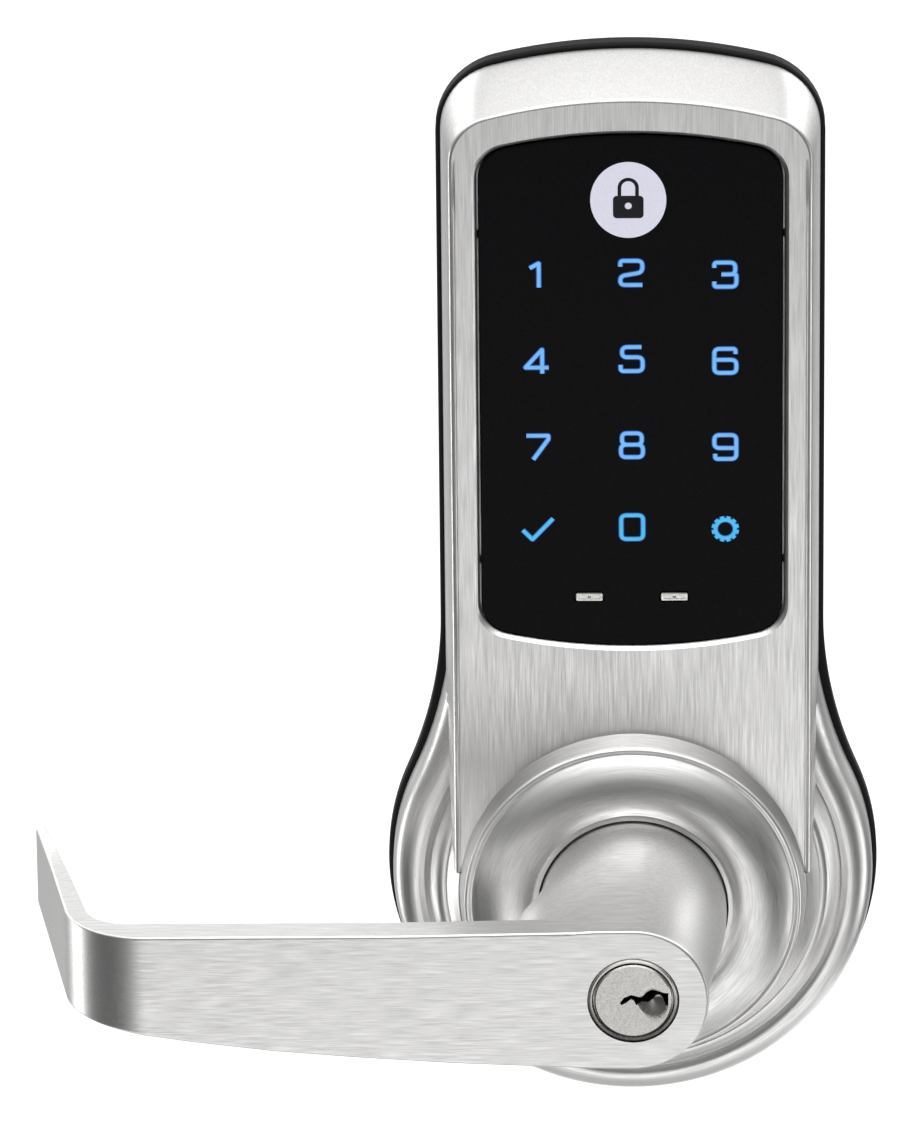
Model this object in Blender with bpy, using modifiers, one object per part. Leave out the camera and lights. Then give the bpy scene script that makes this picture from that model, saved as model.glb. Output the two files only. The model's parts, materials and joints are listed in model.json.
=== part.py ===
"""Keypad lever lock, outside half: a touchscreen over a cylindrical lever set.

World frame, in metres: the door's outside face is the plane Y = 0, the lock stands out
along -Y, +Z is up and the origin is where the lever's axis meets the door.
Everything below is drawn in the lock's own frame, which a single empty turns into place:
x to the right, y up the door, z straight out from the door.
"""
import math

import bmesh
import bpy
from mathutils import Matrix

MM = 0.001
GAP = 0.3 * MM                    # room between pieces that touch

# Heights above the door (z) of the main layers
GASKET_TOP = 3.3 * MM
METAL_BACK = GASKET_TOP + GAP
PLATE_THICK = 2.0 * MM
PLATE_TOP = METAL_BACK + PLATE_THICK
PANEL_Z = 19.3 * MM               # front plane of the keypad panel
CAVITY_Z = 15.0 * MM              # inside face of the panel's wall
LEVER_FRONT = 66.0 * MM

# Outline of the back: a round rose that flares into the keypad's straight sides
ROSE_R = 44.5 * MM
SIDE_X = 34.6 * MM
TOP_Y = 157.2 * MM
CORNER_R = 14.0 * MM
TOP_R = 100.0 * MM
FLARE_R = 75.0 * MM
GASKET_LIP = 0.9 * MM             # the gasket shows this much all round

# Keypad panel and the glass in it
PANEL_X = 31.3 * MM
PANEL_TOP = 151.4 * MM
PANEL_CORNER = 8.0 * MM
PANEL_FOOT = 4.0 * MM             # where the panel's sides run out into the rose
GLASS_X = 26.9 * MM
GLASS_TOP = 145.4 * MM
GLASS_FOOT = 48.6 * MM
GLASS_ARC = 105.0 * MM
GLASS_CORNER = 6.0 * MM
GLASS_FRONT = 19.0 * MM
GLASS_THICK = 1.8 * MM
LEDGE_WIDTH = 3.0 * MM
CONTACT_Y = 57.9 * MM
CONTACT_X = 7.6 * MM
BOARD_Y = 92.5 * MM               # middle of the circuit board

# Lever
NECK_R = 16.9 * MM
NECK_BACK = 25.2 * MM
HUB_R = 13.4 * MM
HUB_LEFT = 22.3 * MM
BAR_BACK = 59.6 * MM
TIP_X = -108.2 * MM
TIP_Z = 12.8 * MM
LEVER_TOP = 12.4 * MM

# Spindle and its return springs
SLEEVE_R = 10.2 * MM
SLEEVE_BORE = 8.7 * MM
SLEEVE_BACK = -18.0 * MM
SLEEVE_FRONT = 36.3 * MM
CATCH_Z = 29.4 * MM               # the stud that locks the lever to the sleeve
CAGE_R = 25.5 * MM
CAGE_BACK = 7.0 * MM
CAGE_FRONT = 16.8 * MM
SPRING_ARC_R = 18.6 * MM
STOP_ANGLE = math.radians(43)     # of each spring end from the spring's middle

# Key cylinder
SHELL_R = 7.95 * MM
PLUG_R = 6.35 * MM
PLUG_FACE_R = 6.9 * MM
PLUG_FRONT = LEVER_FRONT + 0.2 * MM
SHELL_BACK = 37.2 * MM
BIBLE_FRONT = 63.4 * MM
BIBLE_END = -15.2 * MM
BIBLE_HALF = 3.8 * MM
PIN_COUNT = 6
PIN_PITCH = 3.9 * MM
FIRST_PIN_Z = 59.6 * MM
PIN_R = 1.2 * MM
PIN_BORE_R = 1.5 * MM

POST_X = 20.65 * MM               # through-bolt posts, left and right of the spindle
POST_BACK = -16.0 * MM
POST_SHOULDER_R = 5.5 * MM
GROMMET_Y = 36.0 * MM
GROMMET_LIP_R = 6.3 * MM
SCREW_HEAD_R = 3.2 * MM
BUSHING_R = 14.4 * MM

PLATE_SCREWS = [(-25.5 * MM, 37 * MM), (25.5 * MM, 37 * MM), (-21 * MM, 143.5 * MM), (21 * MM, 143.5 * MM)]
CARRIER_SCREWS = [(x * 27.7 * MM, y * MM) for y in (64, 126) for x in (-1, 1)]


# ---------------------------------------------------------------- scene helpers

def new_collection(name):
    collection = bpy.data.collections.new(name)
    bpy.context.scene.collection.children.link(collection)
    return collection


def new_empty(name, parent=None, rotation=(0, 0, 0), location=(0, 0, 0)):
    empty = bpy.data.objects.new(name, None)
    empty.rotation_euler = rotation
    empty.location = location
    empty.parent = parent
    PARTS.objects.link(empty)
    return empty


def new_material(name, colour, roughness, metallic):
    material = bpy.data.materials.new(name)
    material.use_nodes = True
    shader = material.node_tree.nodes["Principled BSDF"]
    shader.inputs["Base Color"].default_value = (*colour, 1.0)
    shader.inputs["Roughness"].default_value = roughness
    shader.inputs["Metallic"].default_value = metallic
    return material


def place(obj, collection, parent):
    for holder in list(obj.users_collection):
        holder.objects.unlink(obj)
    collection.objects.link(obj)
    obj.parent = parent


def part(obj, name, look, parent=None):
    """Make an object one named piece of the lock."""
    obj.name = name
    obj.data.name = name
    obj.data.materials.clear()
    obj.data.materials.append(new_material(name, *LOOKS[look]))
    obj.data.shade_smooth()
    obj.data.set_sharp_from_angle(angle=math.radians(35))
    place(obj, PARTS, parent or FRAME)
    return obj


def combine(target, tool, operation="DIFFERENCE"):
    """Cut, join or intersect the target with a tool that is itself left out of the lock."""
    tool.name = f"{operation.lower()}_tool"
    tool.hide_render = True
    tool.display_type = "WIRE"
    place(tool, CUTTERS, FRAME)
    modifier = target.modifiers.new(operation.title(), "BOOLEAN")
    modifier.operation = operation
    modifier.solver = "EXACT"
    modifier.object = tool
    return target


# ---------------------------------------------------------------- shape helpers

def arc(cx, cy, radius, start, end, steps):
    """Points on an arc, angles in degrees, both ends included."""
    angles = [math.radians(start + (end - start) * i / steps) for i in range(steps + 1)]
    return [(cx + radius * math.cos(a), cy + radius * math.sin(a)) for a in angles]


def circle(cx, cy, radius, steps=24):
    return arc(cx, cy, radius, 0, 360 - 360 / steps, steps - 1)


def rounded_rectangle(cx, cy, width, height, radius, steps=3):
    points = []
    for quarter, (sx, sy) in enumerate(((1, 1), (-1, 1), (-1, -1), (1, -1))):
        x = cx + sx * (width / 2 - radius)
        y = cy + sy * (height / 2 - radius)
        points += arc(x, y, radius, 90 * quarter, 90 * quarter + 90, steps)
    return points


def arched_top(half, top, corner, radius):
    """The right half of a shallow arch with rounded corners, from the side to the middle."""
    centre_y = top - radius + math.sqrt((radius - corner) ** 2 - (half - corner) ** 2)
    meet = math.degrees(math.asin((half - corner) / (radius - corner)))
    points = arc(half - corner, centre_y, corner, 0, 90 - meet, 4)
    return points + arc(0, top - radius, radius, 90 - meet, 90, 3)[1:]


def mirrored(right_half):
    """Close an outline whose right half runs from its foot to its top on the centre line."""
    return right_half + [(-x, y) for x, y in reversed(right_half) if abs(x) > 1e-9]


def lock_outline(inset=0.0, rose=ROSE_R, side=SIDE_X, top=TOP_Y):
    """Rose, flare, straight side and arched top, all moved in by the inset."""
    centre_x = side + FLARE_R
    centre_y = math.sqrt((rose + FLARE_R) ** 2 - centre_x ** 2)
    meet = math.degrees(math.atan2(centre_y, centre_x))
    points = arc(0, 0, rose - inset, -90, meet, 18)
    points += arc(centre_x, centre_y, FLARE_R + inset, 180 + meet, 180, 5)[1:]
    points += arched_top(side - inset, top - inset, CORNER_R - inset, TOP_R - inset)
    return mirrored(points)


def panel_outline(half, top, foot, corner, radius=TOP_R):
    return mirrored([(0, foot), (half, foot)] + arched_top(half, top, corner, radius))


def glass_outline(inset=0.0):
    """Straight sides, a shallow arch above and the same arch below."""
    half = GLASS_X - inset
    middle = (GLASS_TOP + GLASS_FOOT) / 2
    upper = arched_top(half, GLASS_TOP - inset, GLASS_CORNER - inset / 2, GLASS_ARC)
    lower = [(x, 2 * middle - y) for x, y in reversed(upper)]
    return mirrored(lower + upper)


def mesh_object(name, bm):
    mesh = bpy.data.meshes.new(name)
    bm.to_mesh(mesh)
    bm.free()
    obj = bpy.data.objects.new(name, mesh)
    PARTS.objects.link(obj)
    return obj


def mesh_from_curve(curve_object):
    """Replace a curve by its mesh, with the loose caps welded on."""
    depsgraph = bpy.context.evaluated_depsgraph_get()
    mesh = bpy.data.meshes.new_from_object(curve_object.evaluated_get(depsgraph))
    bm = bmesh.new()
    bm.from_mesh(mesh)
    bmesh.ops.remove_doubles(bm, verts=bm.verts, dist=1e-6)
    bmesh.ops.recalc_face_normals(bm, faces=bm.faces)
    obj = mesh_object(curve_object.name, bm)
    obj.matrix_world = curve_object.matrix_world.copy()
    bpy.data.objects.remove(curve_object)
    return obj


def slab(outlines, low, high):
    """A flat outline, with any holes, standing from one height to another."""
    curve = bpy.data.curves.new("slab", "CURVE")
    curve.dimensions = "2D"
    curve.fill_mode = "BOTH"
    curve.extrude = (high - low) / 2
    for outline in outlines:
        spline = curve.splines.new("POLY")
        spline.points.add(len(outline) - 1)
        for point, (x, y) in zip(spline.points, outline):
            point.co = (x, y, 0, 1)
        spline.use_cyclic_u = True
    obj = bpy.data.objects.new("slab", curve)
    obj.location.z = (low + high) / 2
    PARTS.objects.link(obj)
    bpy.context.view_layer.update()
    return mesh_from_curve(obj)


def wire(points, radius, sides_level=1):
    """A round wire along a path of points."""
    curve = bpy.data.curves.new("wire", "CURVE")
    curve.dimensions = "3D"
    curve.bevel_depth = radius
    curve.bevel_resolution = sides_level
    curve.use_fill_caps = True
    spline = curve.splines.new("POLY")
    spline.points.add(len(points) - 1)
    for point, co in zip(spline.points, points):
        point.co = (*co, 1)
    obj = bpy.data.objects.new("wire", curve)
    PARTS.objects.link(obj)
    bpy.context.view_layer.update()
    return mesh_from_curve(obj)


def turned(profile, steps=32, closed=False):
    """A shape turned about z from a profile of (radius, height) points."""
    loop = profile + [profile[0]]
    if sum(a[0] * b[1] - b[0] * a[1] for a, b in zip(loop, loop[1:])) > 0:
        profile = profile[::-1]
    bm = bmesh.new()
    verts = [bm.verts.new((radius, 0, height)) for radius, height in profile]
    for first, second in zip(verts, verts[1:] + (verts[:1] if closed else [])):
        bm.edges.new((first, second))
    obj = mesh_object("turned", bm)
    screw = obj.modifiers.new("Screw", "SCREW")
    screw.steps = steps
    screw.render_steps = steps
    screw.use_merge_vertices = True
    screw.merge_threshold = 1e-6
    return obj


def tube(inner, outer, low, high, steps=24):
    return turned([(outer, high), (outer, low), (inner, low), (inner, high)], steps, closed=True)


def loft(rings):
    """A closed skin through rings of equally many points, given as (x, y, z)."""
    bm = bmesh.new()
    rows = [[bm.verts.new(point) for point in ring] for ring in rings]
    for lower, upper in zip(rows, rows[1:]):
        for i, vert in enumerate(lower):
            following = (i + 1) % len(lower)
            bm.faces.new((vert, lower[following], upper[following], upper[i]))
    bm.faces.new(rows[0][::-1])
    bm.faces.new(rows[-1])
    bmesh.ops.recalc_face_normals(bm, faces=bm.faces)
    return mesh_object("loft", bm)


def box(low, high):
    bm = bmesh.new()
    size = [h - l for l, h in zip(low, high)]
    centre = [(h + l) / 2 for l, h in zip(low, high)]
    bmesh.ops.create_cube(bm, size=1.0, matrix=Matrix.Translation(centre) @ Matrix.Diagonal((*size, 1)))
    return mesh_object("box", bm)


def rod(radius, low, high, x=0.0, y=0.0, steps=24):
    """A cylinder along z."""
    bm = bmesh.new()
    bmesh.ops.create_cone(bm, cap_ends=True, segments=steps, radius1=radius, radius2=radius,
                          depth=high - low, matrix=Matrix.Translation((x, y, (low + high) / 2)))
    return mesh_object("rod", bm)


def lay_along_x(obj, z):
    """Turn a piece made along z so that it lies along x at a given height."""
    obj.rotation_euler = (0, math.pi / 2, 0)
    obj.location.z = z
    return obj


def hang_down(obj, z):
    """Turn a piece made along z so that it points down the door at a given height."""
    obj.rotation_euler = (math.pi / 2, 0, 0)
    obj.location.z = z
    return obj


def heights(outline, z):
    return [(x, y, z) for x, y in outline]


# ---------------------------------------------------------------- housing

def make_gasket():
    holes = [circle(0, 0, BUSHING_R + 0.4 * MM, 32), circle(0, GROMMET_Y, GROMMET_LIP_R + GAP)]
    holes += [circle(side * POST_X, 0, POST_SHOULDER_R + GAP) for side in (-1, 1)]
    holes += [circle(x, y, SCREW_HEAD_R + 0.4 * MM, 16) for x, y in PLATE_SCREWS]
    part(slab([lock_outline()] + holes, 0, GASKET_TOP), "back_gasket", "rubber")


def make_mounting_plate():
    outline = lock_outline(0, rose=41.0 * MM, side=30.8 * MM, top=153.0 * MM)
    holes = [circle(0, 0, 12.9 * MM, 32), circle(0, GROMMET_Y, 5.3 * MM)]
    holes += [circle(side * POST_X, 0, 3.4 * MM) for side in (-1, 1)]
    holes += [circle(x, y, 1.9 * MM, 16) for x, y in PLATE_SCREWS + cage_screw_places()]
    part(slab([outline] + holes, METAL_BACK, PLATE_TOP), "mounting_plate", "steel")


def make_rose_shape():
    """The turned front of the rose: lip, rolled dome, crest, wall, terrace and groove."""
    profile = [(0, 26.2), (18.2, 26.2), (20, 27.0), (22.5, 27.5), (25.2, 27.0), (27.5, 25.5), (29.2, 23.4),
               (29.8, 24.0), (30.5, 23.9), (31.3, 19.3), (32.6, 17.2), (34.0, 15.4), (35.3, 15.0),
               (36.4, 13.9), (38.0, 12.0), (38.0, 3.6), (0, 3.6)]
    return turned([(r * MM, z * MM) for r, z in profile], 48)


def make_rolled_rim():
    """The low rounded rim that follows the rose and the flare."""
    steps = [(0, METAL_BACK), (0, 8.0 * MM), (0.8 * MM, 10.4 * MM), (2.6 * MM, 12.1 * MM),
             (4.6 * MM, 12.6 * MM), (5.8 * MM, 12.1 * MM)]
    rose = ROSE_R - GASKET_LIP
    side = SIDE_X - 1.9 * MM
    return loft([heights(lock_outline(inset, rose, side, 62 * MM), z) for inset, z in steps])


def make_front_cover():
    wide, high = SIDE_X - GASKET_LIP, TOP_Y - GASKET_LIP
    base = panel_outline(wide, high, PANEL_FOOT, 12 * MM)
    front = panel_outline(PANEL_X, PANEL_TOP, PANEL_FOOT, PANEL_CORNER)
    cover = loft([heights(base, METAL_BACK), heights(front, PANEL_Z)])
    combine(cover, make_rolled_rim(), "UNION")
    combine(cover, make_rose_shape(), "UNION")

    wall = 2.0 * MM
    share = (CAVITY_Z - METAL_BACK) / (PANEL_Z - METAL_BACK)
    upper_half = wide + (PANEL_X - wide) * share - wall
    upper_top = high + (PANEL_TOP - high) * share - wall
    lower = panel_outline(wide - wall, high - wall, 0, 10 * MM)
    upper = panel_outline(upper_half, upper_top, 0, 8 * MM)
    below = 1.0 * MM
    combine(cover, loft([heights(lower, METAL_BACK - below), heights(upper, CAVITY_Z)]))
    rim_hollow = lock_outline(0, rose=41.4 * MM, side=31.4 * MM, top=64 * MM)
    combine(cover, slab([rim_hollow], METAL_BACK - below, 8.6 * MM))
    hollow = [(0, 21.8), (28.2, 21.8), (29.0, 17.5), (32.0, 12.5), (35.5, 10.0), (39.0, 8.0), (39.0, 2.6), (0, 2.6)]
    combine(cover, turned([(r * MM, z * MM) for r, z in hollow], 48))

    for x, y in PLATE_SCREWS:
        combine(cover, rod(3.6 * MM, 6.6 * MM, CAVITY_Z + 1 * MM, x, y, 20), "UNION")
    for x, y in CARRIER_SCREWS:
        combine(cover, rod(2.6 * MM, 10.2 * MM, CAVITY_Z + 1 * MM, x, y, 20), "UNION")
    combine(cover, rod(NECK_R + 0.35 * MM, 20 * MM, 30 * MM, steps=56))
    combine(cover, slab([glass_outline(-GAP)], 16.0 * MM, PANEL_Z + 2 * MM))
    combine(cover, slab([glass_outline(LEDGE_WIDTH)], CAVITY_Z - 1 * MM, PANEL_Z))
    for x, y in PLATE_SCREWS:
        combine(cover, rod(1.75 * MM, 3 * MM, 13.5 * MM, x, y, 12))
    for x, y in CARRIER_SCREWS:
        combine(cover, rod(1.35 * MM, 9 * MM, 16.5 * MM, x, y, 12))
    part(cover, "front_cover", "satin_chrome")


def make_posts():
    head, neck, shoulder, body, thread = 4.2 * MM, 3.0 * MM, POST_SHOULDER_R, 4.0 * MM, 2.1 * MM
    profile = [(0, PLATE_TOP + 1.1 * MM), (head, PLATE_TOP + 1.1 * MM), (head, PLATE_TOP + GAP),
               (neck, PLATE_TOP + GAP), (neck, GASKET_TOP), (shoulder, GASKET_TOP),
               (shoulder, 1.6 * MM), (body, 1.6 * MM), (body, POST_BACK), (thread, POST_BACK),
               (thread, 0.5 * MM), (0, 0.5 * MM)]
    for side, name in ((-1, "through_post_left"), (1, "through_post_right")):
        post = part(turned(profile, 16), name, "zinc_steel")
        post.location.x = side * POST_X


def make_plate_screws():
    head, shank = SCREW_HEAD_R, 1.45 * MM
    profile = [(0, 12.6 * MM), (shank, 12.6 * MM), (shank, GASKET_TOP), (head, GASKET_TOP),
               (head, 1.7 * MM), (2.2 * MM, 1.2 * MM), (0, 1.2 * MM)]
    for number, (x, y) in enumerate(PLATE_SCREWS, 1):
        screw = part(turned(profile, 12), f"plate_screw_{number}", "zinc_steel")
        screw.location = (x, y, 0)


def make_grommet():
    bore, groove, lip = 2.6 * MM, 5.0 * MM, GROMMET_LIP_R
    profile = [(lip, PLATE_TOP + 1.6 * MM), (lip, PLATE_TOP + GAP), (groove, PLATE_TOP + GAP),
               (groove, METAL_BACK - GAP), (lip, METAL_BACK - GAP), (lip, 1.5 * MM),
               (bore, 1.5 * MM), (bore, PLATE_TOP + 1.6 * MM)]
    grommet = part(turned(profile, 16, closed=True), "cable_grommet", "rubber")
    grommet.location.y = GROMMET_Y


# ---------------------------------------------------------------- keypad

def make_keypad():
    glass_back = GLASS_FRONT - GLASS_THICK
    slot = (5.3 * MM, 2.2 * MM, 0.9 * MM)
    slots = [rounded_rectangle(x, CONTACT_Y, *slot) for x in (-CONTACT_X, CONTACT_X)]
    part(slab([glass_outline()] + slots, glass_back, GLASS_FRONT), "touch_glass", "black_glass")
    part(slab([glass_outline(0.3 * MM), glass_outline(2.7 * MM)], 16.3 * MM, glass_back - GAP),
         "glass_seal", "rubber")
    part(slab([glass_outline(LEDGE_WIDTH + 0.4 * MM)] + slots, 14.9 * MM, 16.9 * MM),
         "light_guide", "clear_plastic")

    board_top, board_back = 14.6 * MM, 13.0 * MM
    board = rounded_rectangle(0, BOARD_Y, 47 * MM, 90 * MM, 3 * MM)
    part(slab([board], board_back, board_top), "keypad_board", "circuit_board")
    chips = (("touch_controller", 6, 108, 10), ("radio_module", -8, 84, 13))
    for name, x, y, size in chips:
        outline = rounded_rectangle(x * MM, y * MM, size * MM, size * MM, 0.5 * MM, 1)
        part(slab([outline], 11.6 * MM, board_back - GAP), name, "black_plastic")
    part(box((-7 * MM, 52 * MM, 8.2 * MM), (7 * MM, 58 * MM, board_back - GAP)), "board_connector", "white_plastic")
    speaker = turned([(0, 12.7 * MM), (6 * MM, 12.7 * MM), (6 * MM, 8.4 * MM), (1.2 * MM, 8.4 * MM),
                      (1.2 * MM, 9.4 * MM), (0, 9.4 * MM)], 24)
    part(speaker, "speaker", "black_plastic").location = (10 * MM, 70 * MM, 0)

    outer = rounded_rectangle(0, BOARD_Y, 49.4 * MM, 93 * MM, 4 * MM)
    carrier = slab([outer], 6.2 * MM, board_back - GAP)
    combine(carrier, box((-9 * MM, 51 * MM, 5 * MM), (9 * MM, 59 * MM, 9 * MM)))
    for x, y in CARRIER_SCREWS:
        ear = rounded_rectangle(x * 0.9, y, 9.4 * MM, 6 * MM, 2 * MM)
        combine(carrier, slab([ear], 8.2 * MM, 9.9 * MM), "UNION")
    for x, y in CARRIER_SCREWS:
        combine(carrier, rod(1.5 * MM, 5 * MM, 11 * MM, x, y, 12))
    inner = rounded_rectangle(0, BOARD_Y, 46.4 * MM, 89.4 * MM, 2.5 * MM)
    combine(carrier, slab([inner], 7.6 * MM, 20 * MM))
    part(carrier, "screen_carrier", "black_plastic")

    profile = [(0, 15.9), (1.05, 15.9), (1.05, 7.9), (2.3, 7.9), (2.3, 6.6), (0, 6.6)]
    for number, (x, y) in enumerate(CARRIER_SCREWS, 1):
        screw = turned([(r * MM, z * MM) for r, z in profile], 12)
        part(screw, f"carrier_screw_{number}", "zinc_steel").location = (x, y, 0)


def make_jump_contacts():
    for side, name in ((-1, "jump_contact_left"), (1, "jump_contact_right")):
        pad = rounded_rectangle(side * CONTACT_X, CONTACT_Y, 4.7 * MM, 1.6 * MM, 0.6 * MM)
        contact = slab([pad], 14.9 * MM, GLASS_FRONT + 0.15 * MM)
        combine(contact, rod(0.35 * MM, GLASS_FRONT - 0.2 * MM, 20 * MM, side * CONTACT_X, CONTACT_Y, 8))
        part(contact, name, "nickel")


# ---------------------------------------------------------------- spindle

def cage_screw_places():
    return [(math.cos(a) * 21.4 * MM, math.sin(a) * 21.4 * MM) for a in (math.radians(22), math.radians(202))]


def radial_bar(angle, inner, outer, width, low, high):
    """An upright bar lying along a radius of the lever's axis."""
    bar = box((inner, -width / 2, low), (outer, width / 2, high))
    bar.data.transform(Matrix.Rotation(angle, 4, "Z"))
    return bar


def stop_angles():
    return [middle + side * STOP_ANGLE for middle in (math.pi / 2, -math.pi / 2) for side in (-1, 1)]


def make_spring_cage():
    floor = CAGE_BACK + 1.2 * MM
    profile = [(CAGE_R, CAGE_FRONT), (CAGE_R, CAGE_BACK), (11.2 * MM, CAGE_BACK), (11.2 * MM, floor),
               (CAGE_R - 1.2 * MM, floor), (CAGE_R - 1.2 * MM, CAGE_FRONT)]
    cage = turned(profile, 40, closed=True)
    for angle in stop_angles():
        combine(cage, radial_bar(angle, 14.6 * MM, CAGE_R - 0.6 * MM, 1.4 * MM, floor - 0.6 * MM, 11.4 * MM), "UNION")
    for x, y in cage_screw_places():
        combine(cage, rod(2.6 * MM, PLATE_TOP + GAP, floor - 0.6 * MM, x, y, 16), "UNION")
    for x, y in cage_screw_places():
        combine(cage, rod(1.7 * MM, 4 * MM, 12 * MM, x, y, 12))
    part(cage, "spring_cage", "steel")

    profile = [(0, 10.2), (2.6, 10.2), (2.6, 8.5), (1.4, 8.5), (1.4, 3.7), (0, 3.7)]
    for number, (x, y) in enumerate(cage_screw_places(), 1):
        screw = turned([(r * MM, z * MM) for r, z in profile], 12)
        part(screw, f"cage_screw_{number}", "zinc_steel").location = (x, y, 0)


def make_return_springs():
    """Two compression springs, bent round the spindle, one above it and one below."""
    coils, per_coil, coil_r, wire_r = 7, 8, 2.7 * MM, 0.45 * MM
    span = 2 * (STOP_ANGLE - math.radians(4.5))
    height = 12.1 * MM
    for middle, name in ((math.pi / 2, "return_spring_upper"), (-math.pi / 2, "return_spring_lower")):
        points = []
        for i in range(coils * per_coil + 1):
            turn = 2 * math.pi * i / per_coil
            angle = middle + span * (i / (coils * per_coil) - 0.5)
            radius = SPRING_ARC_R + coil_r * math.cos(turn)
            points.append((radius * math.cos(angle), radius * math.sin(angle), height + coil_r * math.sin(turn)))
        part(wire(points, wire_r), name, "spring_steel")


def make_spindle():
    """The sleeve that carries the lever, the plate that winds the springs, and their ring."""
    groove = (16.0 * MM, 17.4 * MM)
    profile = [(SLEEVE_R, SLEEVE_FRONT), (SLEEVE_R, groove[1]), (9.5 * MM, groove[1]), (9.5 * MM, groove[0]),
               (SLEEVE_R, groove[0]), (SLEEVE_R, SLEEVE_BACK), (SLEEVE_BORE, SLEEVE_BACK),
               (SLEEVE_BORE, SLEEVE_FRONT)]
    sleeve = turned(profile, 32, closed=True)
    combine(sleeve, box((-12 * MM, -2.0 * MM, 12.0 * MM), (12 * MM, 2.0 * MM, 15.6 * MM)))
    combine(sleeve, box((-2.5 * MM, -12 * MM, SLEEVE_BACK - 1 * MM), (2.5 * MM, 12 * MM, SLEEVE_BACK + 6 * MM)))
    combine(sleeve, hang_down(rod(2.6 * MM, 5 * MM, 12 * MM), CATCH_Z))
    part(sleeve, "spindle_sleeve", "steel", LEVER_AXIS)

    body, flange_back, front = 12.6 * MM, 1.8 * MM, PLATE_TOP + 1.0 * MM
    bushing = turned([(body, front), (body, METAL_BACK - GAP), (BUSHING_R, METAL_BACK - GAP), (BUSHING_R, flange_back),
                      (SLEEVE_R + GAP, flange_back), (SLEEVE_R + GAP, front)], 32, closed=True)
    part(bushing, "sleeve_bushing", "bronze")

    low, high = 12.3 * MM, 15.3 * MM
    driver = tube(SLEEVE_R + GAP, 13.8 * MM, low, high, 32)
    for angle in stop_angles():
        combine(driver, radial_bar(angle, 12.5 * MM, 22.4 * MM, 1.6 * MM, low, high), "UNION")
    for angle in (0, math.pi):
        combine(driver, radial_bar(angle, 9.1 * MM, 12.5 * MM, 3.4 * MM, low + 0.2 * MM, high - 0.2 * MM), "UNION")
    part(driver, "spring_driver", "steel", LEVER_AXIS)

    ring = tube(9.8 * MM, 12.4 * MM, 16.3 * MM, 17.1 * MM, 32)
    combine(ring, box((-4 * MM, -20 * MM, 15 * MM), (4 * MM, 0, 19 * MM)))
    part(ring, "retaining_ring", "spring_steel", LEVER_AXIS)


def make_catch():
    """The sprung stud that locks the lever to the sleeve, pushed in through the neck's hole."""
    catch = hang_down(rod(2.2 * MM, 6.9 * MM, 12.6 * MM, steps=20), CATCH_Z)
    foot = box((-3.2 * MM, -7.7 * MM, CATCH_Z - 3.4 * MM), (3.2 * MM, -6.5 * MM, CATCH_Z + 3.4 * MM))
    combine(catch, foot, "UNION")
    part(catch, "lever_catch", "steel", CATCH_AXIS)

    outer, inner = 8.3 * MM, 7.7 * MM
    band = arc(0, 0, outer, -48, 228, 22) + arc(0, 0, inner, 228, -48, 22)
    part(slab([band], CATCH_Z - 2 * MM, CATCH_Z + 2 * MM), "catch_spring", "spring_steel", LEVER_AXIS)


# ---------------------------------------------------------------- lever

def hub_section(share, z):
    """From the round neck to a section with a square left side, for the bar to grow from."""
    ease = share * share * (3 - 2 * share)
    right = NECK_R + (HUB_R - NECK_R) * ease
    left = NECK_R + (HUB_LEFT - NECK_R) * min(1.0, 1.5 * ease)
    power = 1 - 0.45 * ease
    points = []
    steps = 40
    for i in range(steps):
        angle = 2 * math.pi * i / steps
        c, s = math.cos(angle), math.sin(angle)
        if c >= 0:
            points.append((right * c, right * s, z))
        else:
            points.append((-left * abs(c) ** power, math.copysign(right * abs(s) ** power, s), z))
    return points


def bar_plan():
    """The bent bar seen from above, as (x, z): flat front, bend, arm that thins to its tip."""
    outer = [(HUB_R + 2 * MM, LEVER_FRONT)] + arc(-86 * MM, LEVER_FRONT - 15.2 * MM, 15.2 * MM, 90, 169.5, 10)
    tip = [(TIP_X, TIP_Z), (TIP_X + 1.8 * MM, TIP_Z)]
    inner = arc(-89.5 * MM, BAR_BACK - 7.5 * MM, 7.5 * MM, 166.8, 90, 8) + [(HUB_R + 2 * MM, BAR_BACK)]
    return outer + tip + inner


def bar_front():
    """The bar seen from the front: a straight top, a bottom that rises towards the bend."""
    bottom = [(-31, -11.6), (-49, -10.6), (-64, -9.2), (-79, -7.3), (-91, -5.4), (-98, -4.6), (-110, -4.2)]
    points = arc(0, 0, HUB_R, -96, 88, 16)
    points += [(-40 * MM, 12.6 * MM), (-101 * MM, LEVER_TOP), (-110 * MM, 9.2 * MM)]
    return points + [(x * MM, y * MM) for x, y in reversed(bottom)]


def make_lever():
    bar = slab([bar_plan()], -20 * MM, 20 * MM)
    bar.data.transform(Matrix.Rotation(math.pi / 2, 4, "X"))
    combine(bar, slab([bar_front()], 0, 80 * MM), "INTERSECT")
    levels = 7
    rings = [hub_section(0, NECK_BACK)]
    for i in range(levels + 1):
        share = i / levels
        rings.append(hub_section(share, 27 * MM + share * (LEVER_FRONT - 3 * MM - 27 * MM)))
    combine(bar, loft(rings), "UNION")

    combine(bar, rod(SLEEVE_R + GAP, 20 * MM, SLEEVE_FRONT + GAP, steps=32))
    combine(bar, rod(SHELL_R + GAP, 22 * MM, 70 * MM, steps=32))
    combine(bar, box((BIBLE_END - GAP, -BIBLE_HALF - GAP, 21 * MM), (0, BIBLE_HALF + GAP, BIBLE_FRONT + GAP)))
    for radius, near, far in ((2.7 * MM, 9 * MM, 13.0 * MM), (1.3 * MM, 12 * MM, 20 * MM)):
        combine(bar, hang_down(rod(radius, near, far, steps=16), CATCH_Z))
    part(bar, "lever", "satin_chrome", LEVER_AXIS)


# ---------------------------------------------------------------- key cylinder

def pin_heights():
    return [FIRST_PIN_Z - i * PIN_PITCH for i in range(PIN_COUNT)]


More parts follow.
